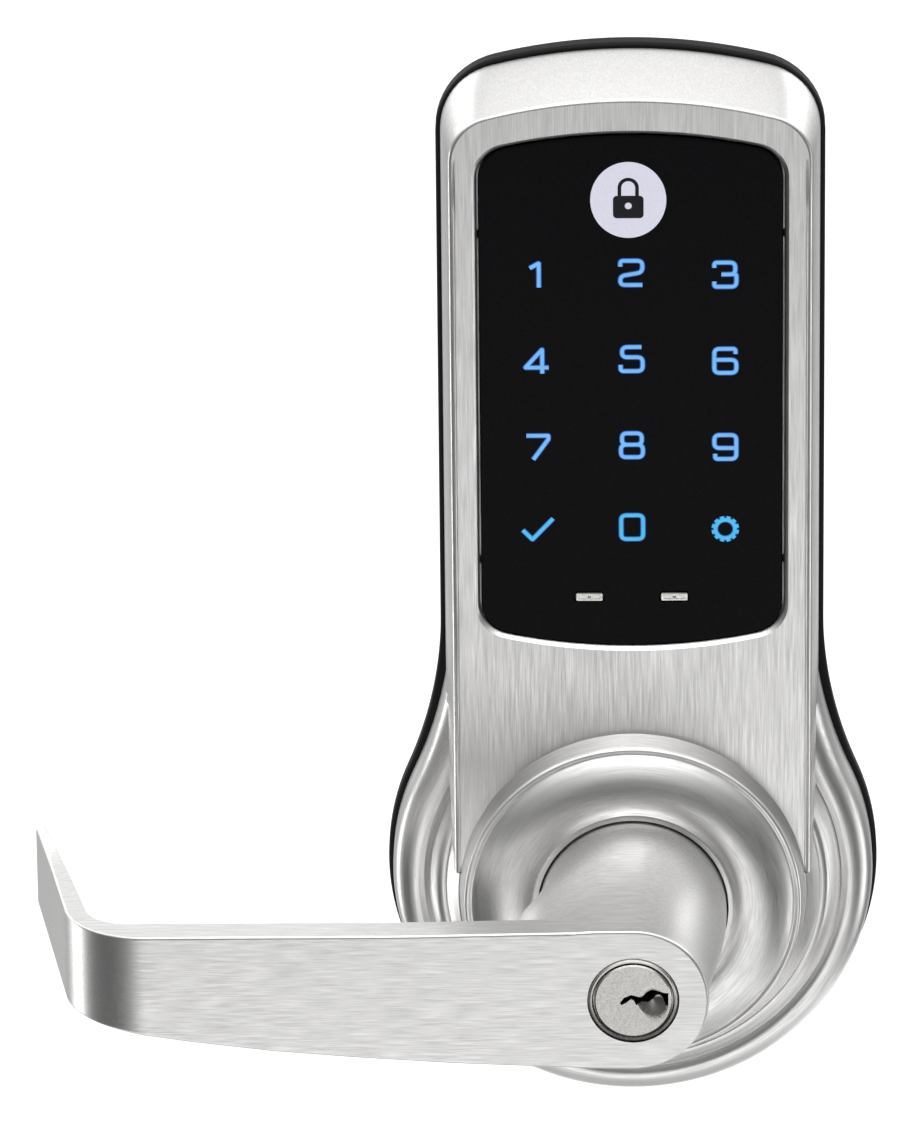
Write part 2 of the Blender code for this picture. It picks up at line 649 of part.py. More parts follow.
def make_cylinder_shell():
    bore = PLUG_R + GAP
    shell = rod(SHELL_R, SHELL_BACK, LEVER_FRONT, steps=32)
    bible = box((BIBLE_END, -BIBLE_HALF, SHELL_BACK), (-5 * MM, BIBLE_HALF, BIBLE_FRONT))
    combine(shell, bible, "UNION")
    combine(shell, rod(bore, 30 * MM, 70 * MM, steps=32))
    combine(shell, rod(PLUG_FACE_R + GAP, LEVER_FRONT - 1.4 * MM, 70 * MM, steps=32))
    for z in pin_heights():
        combine(shell, lay_along_x(rod(PIN_BORE_R, -20 * MM, -5 * MM, steps=12), z))
    cover_slot = box((BIBLE_END - 1 * MM, -2.1 * MM, 38 * MM), (BIBLE_END + 0.9 * MM, 2.1 * MM, BIBLE_FRONT - 1 * MM))
    combine(shell, cover_slot)
    part(shell, "cylinder_shell", "satin_nickel", LEVER_AXIS)
    strip = box((BIBLE_END, -1.8 * MM, 38.3 * MM), (BIBLE_END + 0.6 * MM, 1.8 * MM, BIBLE_FRONT - 1.3 * MM))
    part(strip, "pin_chamber_cover", "bronze", LEVER_AXIS)


def make_plug():
    face_back = LEVER_FRONT - 1.1 * MM
    profile = [(0, PLUG_FRONT), (PLUG_FACE_R, PLUG_FRONT), (PLUG_FACE_R, face_back), (PLUG_R, face_back),
               (PLUG_R, 37.1 * MM), (4.9 * MM, 37.1 * MM), (4.9 * MM, 35.8 * MM), (6.0 * MM, 35.8 * MM),
               (6.0 * MM, 34.6 * MM), (0, 34.6 * MM)]
    plug = turned(profile, 32)
    combine(plug, box((-2.3 * MM, -0.8 * MM, 38.0 * MM), (9 * MM, 0.8 * MM, 70 * MM)))
    combine(plug, box((1.1 * MM, -1.3 * MM, 38.0 * MM), (4.3 * MM, 1.3 * MM, 70 * MM)))
    for z in pin_heights():
        combine(plug, lay_along_x(rod(PIN_BORE_R, -9 * MM, -1.6 * MM, steps=12), z))
    dimple = turned([(0, PLUG_FRONT + 0.5 * MM), (2.9 * MM, PLUG_FRONT + 0.5 * MM), (0, PLUG_FRONT - 1.6 * MM)], 24)
    dimple.location.x = 3.4 * MM
    combine(plug, dimple)
    part(plug, "cylinder_plug", "satin_nickel", PLUG_AXIS)

    clip = tube(5.2 * MM, 7.4 * MM, 36.0 * MM, 36.8 * MM, 24)
    combine(clip, box((-3 * MM, -10 * MM, 35 * MM), (3 * MM, 0, 38 * MM)))
    part(clip, "plug_clip", "spring_steel", PLUG_AXIS)

    tail = box((-3.2 * MM, -0.7 * MM, -20 * MM), (3.2 * MM, 0.7 * MM, 34.0 * MM))
    combine(tail, rod(4.6 * MM, 33.2 * MM, 34.3 * MM), "UNION")
    part(tail, "tailpiece", "steel", PLUG_AXIS)


def make_pins():
    """Key pins in the plug, driver pins and springs in the shell, meeting at the shear line."""
    shear = -(PLUG_R - 0.15 * MM)
    driver_foot = -(PLUG_R + GAP + 0.1 * MM)
    driver_top = driver_foot - 2.7 * MM
    spring_top = BIBLE_END + 1.0 * MM
    for number, z in enumerate(pin_heights(), 1):
        key_pin = turned([(0, -1.2 * MM), (0.5 * MM, -1.2 * MM), (PIN_R, -2.2 * MM), (PIN_R, shear), (0, shear)], 12)
        part(lay_along_x(key_pin, z), f"key_pin_{number}", "bronze", PLUG_AXIS)
        driver = turned([(0, driver_foot), (PIN_R, driver_foot), (PIN_R, driver_top), (0, driver_top)], 12)
        part(lay_along_x(driver, z), f"driver_pin_{number}", "steel", LEVER_AXIS)
        coils, per_coil, start, end = 4, 8, driver_top - 0.35 * MM, spring_top + 0.2 * MM
        points = []
        for i in range(coils * per_coil + 1):
            turn = 2 * math.pi * i / per_coil
            share = i / (coils * per_coil)
            points.append((start + (end - start) * share, 0.95 * MM * math.cos(turn), z + 0.95 * MM * math.sin(turn)))
        part(wire(points, 0.17 * MM, 0), f"pin_spring_{number}", "spring_steel", LEVER_AXIS)


# ---------------------------------------------------------------- assembly

for old in list(bpy.data.objects):
    bpy.data.objects.remove(old, do_unlink=True)

LOOKS = {
    "satin_chrome": ((0.62, 0.62, 0.61), 0.32, 1.0),
    "satin_nickel": ((0.55, 0.55, 0.54), 0.28, 1.0),
    "nickel": ((0.75, 0.75, 0.74), 0.25, 1.0),
    "steel": ((0.45, 0.45, 0.46), 0.45, 1.0),
    "zinc_steel": ((0.60, 0.60, 0.58), 0.40, 1.0),
    "spring_steel": ((0.35, 0.35, 0.36), 0.35, 1.0),
    "bronze": ((0.62, 0.45, 0.22), 0.40, 1.0),
    "rubber": ((0.03, 0.03, 0.03), 0.80, 0.0),
    "black_glass": ((0.01, 0.01, 0.012), 0.08, 0.0),
    "clear_plastic": ((0.80, 0.83, 0.86), 0.20, 0.0),
    "circuit_board": ((0.02, 0.16, 0.07), 0.50, 0.0),
    "black_plastic": ((0.03, 0.03, 0.03), 0.55, 0.0),
    "white_plastic": ((0.80, 0.79, 0.75), 0.50, 0.0),
}

PARTS = new_collection("keypad_lever_lock")
CUTTERS = new_collection("cutters")
FRAME = new_empty("lock_frame", rotation=(math.pi / 2, 0, 0))
LEVER_AXIS = new_empty("lever_axis", FRAME)
PLUG_AXIS = new_empty("plug_axis", LEVER_AXIS)
CATCH_AXIS = new_empty("catch_axis", LEVER_AXIS)

make_gasket()
make_mounting_plate()
make_front_cover()
make_posts()
make_plate_screws()
make_grommet()
make_keypad()
make_jump_contacts()
make_spring_cage()
make_return_springs()
make_spindle()
make_catch()
make_lever()
make_cylinder_shell()
make_plug()
make_pins()
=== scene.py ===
"""Looks for a keypad lever lock: a brushed cover with a touchscreen, a round rose and a return lever.

Laid out as a Blender add-on: each group of pieces has its own operator, listed in the 3D view's
sidebar. World frame in metres: X to the right, Z up the door, -Y out of the door towards the user.
"""
import json
import math

import bmesh
import bpy
import numpy as np
from mathutils import Matrix, Vector


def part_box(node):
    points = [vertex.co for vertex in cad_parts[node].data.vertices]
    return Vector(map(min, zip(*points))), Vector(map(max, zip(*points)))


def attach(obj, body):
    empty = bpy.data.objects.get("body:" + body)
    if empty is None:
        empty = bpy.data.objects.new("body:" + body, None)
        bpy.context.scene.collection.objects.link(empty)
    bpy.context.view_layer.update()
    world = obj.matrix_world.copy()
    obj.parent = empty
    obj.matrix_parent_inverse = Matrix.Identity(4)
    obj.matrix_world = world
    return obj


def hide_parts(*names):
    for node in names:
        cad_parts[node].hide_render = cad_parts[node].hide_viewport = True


bl_info = {
    "name": "Keypad Lever Lock",
    "version": (1, 0, 0),
    "blender": (4, 5, 0),
    "location": "View3D > Sidebar > Lock",
    "description": "Brushed metal, glass and light for a keypad lever lock",
    "category": "Object",
}

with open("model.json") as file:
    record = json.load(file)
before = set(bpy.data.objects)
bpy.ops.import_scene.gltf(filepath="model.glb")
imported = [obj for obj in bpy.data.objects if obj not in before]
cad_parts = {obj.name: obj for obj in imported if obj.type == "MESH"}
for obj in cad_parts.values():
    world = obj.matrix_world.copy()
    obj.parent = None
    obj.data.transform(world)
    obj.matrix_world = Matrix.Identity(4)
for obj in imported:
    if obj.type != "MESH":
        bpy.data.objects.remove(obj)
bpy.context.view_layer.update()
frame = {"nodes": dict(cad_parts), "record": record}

MM = 0.001
MERGE = 1e-6                      # points closer than this are one
TINY = 1e-7                       # stands for a radius of zero
CREASE = math.radians(32)         # edges that turn more than this are shaded as creases


def reach(node, axis, side):
    """How far a CAD node reaches along an axis: side 0 is its low end, side 1 its high end."""
    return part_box(node)[side][axis]


def middle(node):
    """The x and z of a CAD node's middle."""
    near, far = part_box(node)
    return (near.x + far.x) / 2, (near.z + far.z) / 2


# Back outline: a round rose that flares into the keypad's straight sides
ROSE_R = -reach("back_gasket", 2, 0)
TOP_Z = reach("back_gasket", 2, 1)
GASKET_FRONT = -reach("back_gasket", 1, 0)
SIDE_X = 34.6 * MM
CORNER_R = 14.0 * MM
TOP_R = 100.0 * MM
FLARE_R = 75.0 * MM
LIP = TOP_Z - reach("front_cover", 2, 1)

# Cover
METAL_BACK = -reach("front_cover", 1, 1)
PANEL_OUT = 19.3 * MM
PANEL_TOP = 151.4 * MM
PANEL_FOOT = 4.0 * MM
SIDE_BOW, TOP_BOW = 1.5, 3.9      # mm that the block's sides and top draw in towards its front
BLOCK_X = SIDE_X - LIP
BLOCK_TOP = TOP_Z - LIP
WALL_THICK = 2.0 * MM
NECK_HOLE_R = 17.25 * MM

# Glass
GLASS_X = reach("touch_glass", 0, 1)
GLASS_TOP = reach("touch_glass", 2, 1)
GLASS_FOOT = reach("touch_glass", 2, 0)
GLASS_OUT = -reach("touch_glass", 1, 0)
GLASS_BACK = -reach("touch_glass", 1, 1)
GLASS_ARC = 105.0 * MM
GLASS_CORNER = 6.0 * MM
CONTACT_X = 7.6 * MM
CONTACT_Z = middle("jump_contact_left")[1]
POSTS = ("through_post_left", "through_post_right")

# Lever
LEVER_OUT = -reach("lever", 1, 0)
BAR_THICK = 6.4 * MM
BAR_BACK = LEVER_OUT - BAR_THICK
TIP_X = reach("lever", 0, 0)
TIP_OUT = 12.8 * MM
NECK_BACK = -reach("lever", 1, 1)
NECK_R = 16.9 * MM
HUB_R = 13.4 * MM
HUB_LEFT = 22.3 * MM
SLEEVE_R = 10.2 * MM
SLEEVE_OUT = -reach("spindle_sleeve", 1, 0)
CATCH_OUT = 29.4 * MM

# Key cylinder
SHELL_R = 7.95 * MM
SHELL_BACK = -reach("cylinder_shell", 1, 1)
FACE_R = 6.9 * MM
PLUG_R = 6.35 * MM
PLUG_OUT = -reach("cylinder_plug", 1, 0)
PLUG_BACK = -reach("cylinder_plug", 1, 1)
BIBLE_END = reach("cylinder_shell", 0, 0)


# ---------------------------------------------------------------- settings a user would change

def length_setting(name, description, default):
    return bpy.props.FloatProperty(name=name, description=description, default=default, unit="LENGTH")


def colour_setting(name, description, default):
    return bpy.props.FloatVectorProperty(name=name, description=description, default=default,
                                         subtype="COLOR", size=3)


class LockSizes(bpy.types.PropertyGroup):
    """Sizes of the fine detail that the frame doesn't set"""
    edge: length_setting("Lever Edge", "Radius worn on the lever's edges", 0.55 * MM)
    chamfer: length_setting("Window Chamfer", "Width of the bright chamfer round the glass", 0.75 * MM)
    groove: length_setting("Side Groove", "Depth of the line down each side of the panel", 0.35 * MM)
    stroke: length_setting("Legend Stroke", "Width of the glowing strokes", 0.7 * MM)


class LockColours(bpy.types.PropertyGroup):
    """Colours of the visible finishes"""
    metal: colour_setting("Satin Metal", "Tint of the brushed cover and lever", (0.90, 0.895, 0.885))
    glow: colour_setting("Legend Glow", "Light inside the digits' strokes", (0.17, 0.48, 0.96))
    low_glow: colour_setting("Bottom Row Glow", "Light inside the bottom row's strokes", (0.06, 0.50, 0.84))
    halo: colour_setting("Legend Halo", "Light that spills round the strokes", (0.01, 0.09, 0.42))
    badge: colour_setting("Badge", "Printed disc above the digits", (0.60, 0.60, 0.70))


# ---------------------------------------------------------------- modelling helpers

def deselect():
    if bpy.context.mode != "OBJECT":
        bpy.ops.object.mode_set(mode="OBJECT")
    bpy.ops.object.select_all(action="DESELECT")


def select(obj):
    deselect()
    obj.select_set(True)
    bpy.context.view_layer.objects.active = obj


def at(x, z, out):
    """A point from its place on the door and how far it stands out."""
    return Vector((x, -out, z))


def metres(pairs):
    """Pairs of measures given in millimetres."""
    return [(first * MM, second * MM) for first, second in pairs]


def arc(cx, cz, radius, start, end, steps):
    angles = [math.radians(start + (end - start) * i / steps) for i in range(steps + 1)]
    return [(cx + radius * math.cos(a), cz + radius * math.sin(a)) for a in angles]


def circle(radius, steps=96, x=0.0, z=0.0):
    return arc(x, z, radius, 0, 360 - 360 / steps, steps - 1)


def rounded_rectangle(x, z, width, height, radius, steps=5):
    points = []
    for quarter, (sx, sz) in enumerate(((1, 1), (-1, 1), (-1, -1), (1, -1))):
        points += arc(x + sx * (width / 2 - radius), z + sz * (height / 2 - radius), radius,
                      90 * quarter, 90 * quarter + 90, steps)
    return points


def arched_top(half, top, corner, radius):
    """The right half of a shallow arch with rounded corners, from the side to the middle."""
    centre_z = top - radius + math.sqrt((radius - corner) ** 2 - (half - corner) ** 2)
    meet = math.degrees(math.asin((half - corner) / (radius - corner)))
    points = arc(half - corner, centre_z, corner, 0, 90 - meet, 12)
    return points + arc(0, top - radius, radius, 90 - meet, 90, 14)[1:]


def mirrored(right_half):
    return right_half + [(-x, z) for x, z in reversed(right_half) if abs(x) > TINY]


def lock_outline(inset=0.0, rose=ROSE_R, side=SIDE_X, top=TOP_Z):
    """Rose, flare, straight side and arched top, all moved in by the inset."""
    centre_x = side + FLARE_R
    centre_z = math.sqrt((rose + FLARE_R) ** 2 - centre_x ** 2)
    meet = math.degrees(math.atan2(centre_z, centre_x))
    points = arc(0, 0, rose - inset, -90, meet, 56)
    points += arc(centre_x, centre_z, FLARE_R + inset, 180 + meet, 180, 16)[1:]
    return mirrored(points + arched_top(side - inset, top - inset, CORNER_R - inset, TOP_R - inset))


def panel_outline(half, top, corner):
    """The keypad block: straight sides down to a foot hidden in the rose."""
    upper = arched_top(half, top, corner, TOP_R)
    side_steps = 24
    side = [(half, PANEL_FOOT + (upper[0][1] - PANEL_FOOT) * i / side_steps) for i in range(side_steps)]
    return mirrored([(0, PANEL_FOOT)] + side + upper)


def glass_outline(inset=0.0):
    half = GLASS_X - inset
    middle = (GLASS_TOP + GLASS_FOOT) / 2
    upper = arched_top(half, GLASS_TOP - inset, GLASS_CORNER - inset / 2, GLASS_ARC)
    return mirrored([(x, 2 * middle - z) for x, z in reversed(upper)] + upper)


def quarter_round(radius, steps=4):
    """Pairs of inset and drop from the foot of a rounded edge to its top."""
    angles = [math.pi / 2 * i / steps for i in range(steps + 1)]
    return [(radius * (1 - math.cos(a)), radius * (1 - math.sin(a))) for a in angles]


def smooth(points, steps=5):
    """A soft curve through points: each span is bent towards its neighbours."""
    ends = [points[0]] + list(points) + [points[-1]]
    curve = []
    for a, b, c, d in zip(ends, ends[1:], ends[2:], ends[3:]):
        for i in range(steps):
            t = i / steps
            curve.append(tuple(
                0.5 * (2 * q + (r - p) * t + (2 * p - 5 * q + 4 * r - s) * t * t
                       + (3 * q - p - 3 * r + s) * t ** 3)
                for p, q, r, s in zip(a, b, c, d)))
    return curve + [tuple(points[-1])]


def level(outline, out):
    return [at(x, z, out) for x, z in outline]


def stacked(name, rings, closed=False):
    """A grid wrapped round rings of equally many points, its seam merged and its ends filled."""
    deselect()
    if closed:
        rings = rings + rings[:1]
    columns = len(rings[0])
    bpy.ops.mesh.primitive_grid_add(x_subdivisions=columns, y_subdivisions=len(rings) - 1)
    obj = bpy.context.object
    obj.name = obj.data.name = name
    points = [ring[i % columns] for ring in rings for i in range(columns + 1)]
    for vert, point in zip(obj.data.vertices, points):
        vert.co = point
    bpy.ops.object.mode_set(mode="EDIT")
    bpy.ops.mesh.select_all(action="SELECT")
    bpy.ops.mesh.remove_doubles(threshold=MERGE)
    if not closed:
        bpy.ops.mesh.fill_holes(sides=0)
        bpy.ops.mesh.select_all(action="SELECT")
    bpy.ops.mesh.normals_make_consistent(inside=False)
    bpy.ops.object.mode_set(mode="OBJECT")
    return obj


def turned(name, profile, steps=128, x=0.0, z=0.0, closed=False):
    """A shape turned about an axis square to the door from (radius, height out) points."""
    rings = [level(circle(max(radius, TINY), steps, x, z), out) for radius, out in profile]
    return stacked(name, rings, closed)


def slab(name, outline, low, high, edge=0.0):
    """A flat outline given thickness, its front edge eased by a bevel."""
    obj = stacked(name, [level(outline, low), level(outline, high)])
    if edge:
        bevel_front(obj, high, edge)
    return obj


def bevel_front(obj, out, width):
    """Select the front face's rim by its place and bevel it."""
    select(obj)
    bpy.ops.object.mode_set(mode="EDIT")
    bpy.ops.mesh.select_mode(type="EDGE")
    bpy.ops.mesh.select_all(action="DESELECT")
    mesh = bmesh.from_edit_mesh(obj.data)
    for edge in mesh.edges:
        sharp = edge.calc_face_angle(0) > 0.5
        if sharp and all(abs(vert.co.y + out) < MERGE for vert in edge.verts):
            edge.select = True
    bmesh.update_edit_mesh(obj.data)
    bpy.ops.mesh.bevel(offset=width, segments=2, affect="EDGES")
    bpy.ops.object.mode_set(mode="OBJECT")


def combine(target, tool, operation="DIFFERENCE"):
    """Cut or join the target with a tool, which is then removed."""
    modifier = target.modifiers.new("Shape", "BOOLEAN")
    modifier.operation = operation
    modifier.solver = "EXACT"
    modifier.object = tool
    select(target)
    bpy.ops.object.modifier_apply(modifier=modifier.name)
    bpy.data.objects.remove(tool)


def rod(radius, low, high, x=0.0, z=0.0, steps=64):
    return turned("rod", [(radius, low), (radius, high)], steps, x, z)


def block(low, high):
    """A box between two corners given as (x, z, out)."""
    x, z = (low[0] + high[0]) / 2, (low[1] + high[1]) / 2
    outline = rounded_rectangle(x, z, high[0] - low[0], high[1] - low[1], 0.01 * MM, 1)
    return slab("block", outline, low[2], high[2])


def catch_hole(target, radius, near, far):
    """A hole from below, where the catch slides."""
    hole = rod(radius, near, far, steps=32)
    hole.data.transform(Matrix.Translation(at(0, 0, CATCH_OUT)) @ Matrix.Rotation(math.pi / 2, 4, "X"))
    combine(target, hole)


def finish_piece(obj, body, slot, finish, *nodes):
    """Shade a finished piece, give it its finish and let it stand for CAD nodes."""
    select(obj)
    bpy.ops.object.shade_smooth()
    creases = obj.modifiers.new("Creases", "EDGE_SPLIT")
    creases.split_angle = CREASE
    flat = obj.modifiers.new("Flat Faces", "WEIGHTED_NORMAL")
    for modifier in (creases, flat):
        bpy.ops.object.modifier_apply(modifier=modifier.name)
    obj.data.materials.clear()
    obj.data.materials.append(finish)
    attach(obj, body)
    if nodes:
        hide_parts(*nodes)


# ---------------------------------------------------------------- finishes

class Wire:
    """A shader socket that takes part in arithmetic; each operation adds a Math node."""

    def __init__(self, graph, socket):
        self.graph = graph
        self.socket = socket

    def __add__(self, other):
        return self.graph.math("ADD", self, other)

    def __rsub__(self, other):
        return self.graph.math("SUBTRACT", other, self)

    def __mul__(self, other):
        return self.graph.math("MULTIPLY", self, other)

    def clamped(self, low, high):
        """0 below low, 1 above high and even between."""
        return self.graph.node("ShaderNodeMapRange", {"clamp": True}, {0: self, 1: low, 2: high})


class Graph:
    """A node tree that is filled in from Python."""

    def __init__(self, tree):
        self.tree = tree

    def node(self, kind, settings=(), inputs=(), output=0):
        made = self.tree.nodes.new(kind)
        for key, value in dict(settings).items():
            setattr(made, key, value)
        for key, value in dict(inputs).items():
            self.feed(made.inputs[key], value)
        return Wire(self, made.outputs[output])

    def feed(self, socket, value):
        if isinstance(value, Wire):
            self.tree.links.new(value.socket, socket)
        else:
            socket.default_value = value

    def math(self, operation, first, second=0.0):
        return self.node("ShaderNodeMath", {"operation": operation}, {0: first, 1: second})

    def split(self, vector):
        """The three parts of a vector."""
        parts = self.node("ShaderNodeSeparateXYZ", {}, {"Vector": vector}).socket.node.outputs
        return [Wire(self, part) for part in parts]

    def mix(self, share, first, second):
        """Blend two colours."""
        made = self.tree.nodes.new("ShaderNodeMix")
        made.data_type = "RGBA"
        self.feed(made.inputs["Factor"], share)
        for name, value in (("A", first), ("B", second)):
            socket = next(s for s in made.inputs if s.name == name and s.type == "RGBA")
            self.feed(socket, value if isinstance(value, Wire) else (*value, 1.0))
        return Wire(self, next(s for s in made.outputs if s.type == "RGBA"))


class Finish(Graph):
    """One procedural material."""

    def __init__(self, name, metallic=0.0):
        self.material = bpy.data.materials.new(name)
        self.material.use_nodes = True
        super().__init__(self.material.node_tree)
        self.shader = self.tree.nodes["Principled BSDF"]
        self.shader.inputs["Metallic"].default_value = metallic
        self.place = self.node("ShaderNodeTexCoord", output="Object")

    def set(self, **inputs):
        for key, value in inputs.items():
            self.feed(self.shader.inputs[key.replace("_", " ")], value)

    def stretched(self, scale, detail=3.0, place=None):
        """Noise drawn out by a different scale along each axis."""
        coordinates = self.node("ShaderNodeMapping", {"vector_type": "POINT"},
                                {"Vector": place or self.place, "Scale": scale})
        return self.node("ShaderNodeTexNoise", {},
                         {"Vector": coordinates, "Scale": 1.0, "Detail": detail, "Roughness": 0.6})

    def bump(self, height, distance):
        self.set(Normal=self.node("ShaderNodeBump", {},
                                  {"Height": height, "Distance": distance, "Strength": 1.0}))

    def around(self):
        """Coordinates that follow circles about the lever's axis, and the distance from it."""
        x, y, z = self.split(self.place)
        radius = self.math("SQRT", x * x + z * z)
        angle = self.math("ARCTAN2", z, x)
        return self.node("ShaderNodeCombineXYZ", {}, {"X": radius, "Y": angle, "Z": y}), radius


FINE = 4300.0                     # brush marks a metre, across the brushing
LONG = 120.0                      # and along it


def shaded(base, factor):
    return [part * factor for part in base]


def brushed(finish, marks, base, rough=(0.28, 0.42), depth=0.004 * MM, clouds=60.0):
    """Colour, roughness and relief from brush marks, with faint clouds over them."""
    cloud = finish.stretched((clouds,) * 3, 2.0)
    spread = marks.clamped(0.3, 0.7)
    brushing = finish.mix(spread, shaded(base, 0.78), base)
    clouded = finish.mix(cloud.clamped(0.35, 0.7) * 0.06, brushing, shaded(base, 1.12))
    low, high = rough
    finish.set(Base_Color=clouded, Roughness=(1.0 - spread) * (high - low) + low + cloud * 0.03)
    finish.bump(marks, depth)
    return finish.material


def colours():
    return bpy.context.scene.lock_colours


def sizes():
    return bpy.context.scene.lock_sizes


def cover_finish():
    """Upright brush marks on the keypad, circular ones on the rose."""
    finish = Finish("brushed_cover", 1.0)
    polar, radius = finish.around()
    upright = finish.stretched((FINE, FINE * 0.4, LONG))
    ringed = finish.stretched((FINE * 0.7, 5.0, FINE * 0.7), place=polar)
    depth, height = finish.split(finish.place)[1:]
    on_rose = 1.0 - radius.clamped(31.4 * MM, 31.8 * MM)
    low_down = (1.0 - (0.0 - depth).clamped(15.0 * MM, 16.5 * MM)) * (1.0 - height.clamped(20 * MM, 45 * MM))
    share = finish.math("MAXIMUM", on_rose, low_down)
    marks = finish.node("ShaderNodeMix", {"data_type": "FLOAT"}, {"Factor": share, 2: upright, 3: ringed})
    return brushed(finish, marks, tuple(colours().metal))


def lever_finish():
    """Brush marks that run along the bar."""
    finish = Finish("brushed_lever", 1.0)
    marks = finish.stretched((LONG * 1.3, FINE * 0.5, FINE))
    return brushed(finish, marks, tuple(colours().metal), rough=(0.3, 0.43))


def cylinder_finish(name, turned_marks=True):
    finish = Finish(name, 1.0)
    place = finish.around()[0] if turned_marks else finish.place
    marks = finish.stretched((FINE * 0.8, 6.0, FINE * 0.8), place=place)
    return brushed(finish, marks, (0.56, 0.55, 0.53), rough=(0.2, 0.3), depth=0.002 * MM)


def plain_metal(name, base, rough, grain=900.0, depth=0.004 * MM):
    """Rolled, plated or sintered metal: fine grain with faint stains."""
    finish = Finish(name, 1.0)
    grain_marks = finish.stretched((grain,) * 3, 4.0)
    return brushed(finish, grain_marks, base, (rough, rough + 0.16), depth, 130.0)


def moulded(name, base, rough):
    """Rubber or plastic from a spark-eroded mould."""
    finish = Finish(name)
    grain_marks = finish.stretched((1500.0,) * 3, 3.0)
    cloud = finish.stretched((45.0,) * 3, 2.0)
    finish.set(Base_Color=finish.mix(cloud.clamped(0.3, 0.7), shaded(base, 0.75), shaded(base, 1.25)),
               Roughness=grain_marks * 0.2 + (rough - 0.1), Specular_IOR_Level=0.2)
    finish.bump(grain_marks, 0.01 * MM)
    return finish.material


def glass_finish():
    """Black printed glass: glossy, with the faintest dust."""
    finish = Finish("black_glass")
    dust = finish.stretched((1800.0,) * 3, 2.0)
    clean, dusty = (0.004, 0.004, 0.005), (0.009, 0.009, 0.011)
    finish.set(Base_Color=finish.mix(dust.clamped(0.45, 0.9), clean, dusty),
               Roughness=dust * 0.1 + 0.16, Specular_IOR_Level=0.05)
    return finish.material


def light_finish(name, colour):
    """Lit plastic seen through the glass, a little uneven."""
    finish = Finish(name)
    flicker = finish.stretched((600.0,) * 3, 2.0)
    bright = [min(1.0, part) for part in shaded(colour, 1.15)]
    finish.set(Base_Color=(0.01, 0.01, 0.02, 1.0), Roughness=0.4,
               Emission_Color=finish.mix(flicker, shaded(colour, 0.8), bright), Emission_Strength=1.0)
    return finish.material


def badge_finish():
    """Pale printed disc with a silvery speckle, brightened by a painted glow of its own colour."""
    finish = Finish("badge_print_glow")
    speckle = finish.stretched((2600.0,) * 3, 2.0)
    base = tuple(colours().badge)
    # painted light: the printed disc glows with emission at 0.58 of its colour, though it is no lamp
    finish.set(Base_Color=finish.mix(speckle.clamped(0.35, 0.65), shaded(base, 0.9), base),
               Roughness=0.35, Emission_Color=(*base, 1.0), Emission_Strength=0.58)
    return finish.material


# ---------------------------------------------------------------- cover, gasket and glass

# Front edge of the block: inset and drop in mm, and share of the groove's depth
FRONT_EDGE = ((0.1, 0.45, 0), (0.32, 0.15, 0), (0.6, 0, 0), (0.78, 0, 0.2), (0.9, 0, 1), (1.05, 0, 1),
              (1.2, 0, 0.1), (1.4, 0, 0))
GROOVE_FADE = (PANEL_TOP - 26 * MM, PANEL_TOP - 10 * MM)
# Sections in mm: (inset, height out) of the rim, and (radius, height out) of the rose
RIM = [(0, 7.6), (0.25, 9.2), (1.0, 10.8), (2.5, 12.1), (4.3, 12.6), (5.9, 12.0)]
COLLAR = [(0, 26.1), (17.9, 26.1), (18.2, 26.0)]
DOME = [(18.5, 26.1), (20, 26.75), (22.5, 26.9), (25.2, 26.3), (27.5, 25.1), (29.15, 23.85)]
CREST = [(29.3, 23.85), (29.6, 24.05), (30.05, 24.1), (30.45, 23.75)]
WALL = [(30.6, 23.2), (31.2, 20.0), (31.4, 19.1), (31.6, 19.0)]
RIDGE = [(32.6, 17.2), (33.7, 15.7), (34.0, 15.35), (34.4, 15.45), (35.3, 15.1), (36.4, 13.9), (37.4, 12.6),
         (38.0, 12.0)]
BOWL = [(0, 21.6), (28.1, 21.6), (28.9, 17.3), (31.9, 12.4), (35.4, 9.9), (38.9, 7.9), (38.9, 2.5), (0, 2.5)]


def keypad_block():
    """The upright block: bowed sides, a soft front edge and a fine line down each side."""
    groove, steps, rings = sizes().groove, 7, []
    for i in range(steps + 1):
        share = i / steps
        bow = share ** 1.7
        outline = panel_outline(BLOCK_X - SIDE_BOW * MM * bow, BLOCK_TOP - TOP_BOW * MM * bow,
                                12 * MM - 3 * MM * bow)
        rings.append(level(outline, METAL_BACK + (PANEL_OUT - 0.8 * MM - METAL_BACK) * share))
    start, end = GROOVE_FADE
    for inset, drop, dip in FRONT_EDGE:
        outline = panel_outline(BLOCK_X - (SIDE_BOW + inset) * MM, BLOCK_TOP - (TOP_BOW + inset) * MM,
                                9 * MM - inset * MM)
        fades = [min(1.0, max(0.0, (end - z) / (end - start))) for x, z in outline]
        rings.append([at(x, z, PANEL_OUT - drop * MM - groove * dip * fade)
                      for (x, z), fade in zip(outline, fades)])
    return stacked("front_cover_skin", rings)


def rolled_rim():
    """The low rounded rim that follows the rose and the flare."""
    rose, side, top = ROSE_R - LIP, SIDE_X - 1.9 * MM, 62 * MM
    profile = metres([(0, METAL_BACK / MM), (0, 7.4)] + smooth(RIM, 4))
    return stacked("rim", [level(lock_outline(inset, rose, side, top), out) for inset, out in profile])


def rose_front():
    """Collar, dome, crest, wall, terrace and ridge, turned about the lever's axis."""
    back = [(38.2, METAL_BACK / MM), (0, METAL_BACK / MM)]
    profile = COLLAR + smooth(DOME, 5) + smooth(CREST, 3) + WALL + smooth(RIDGE, 4) + back
    return turned("rose", metres(profile), 192)


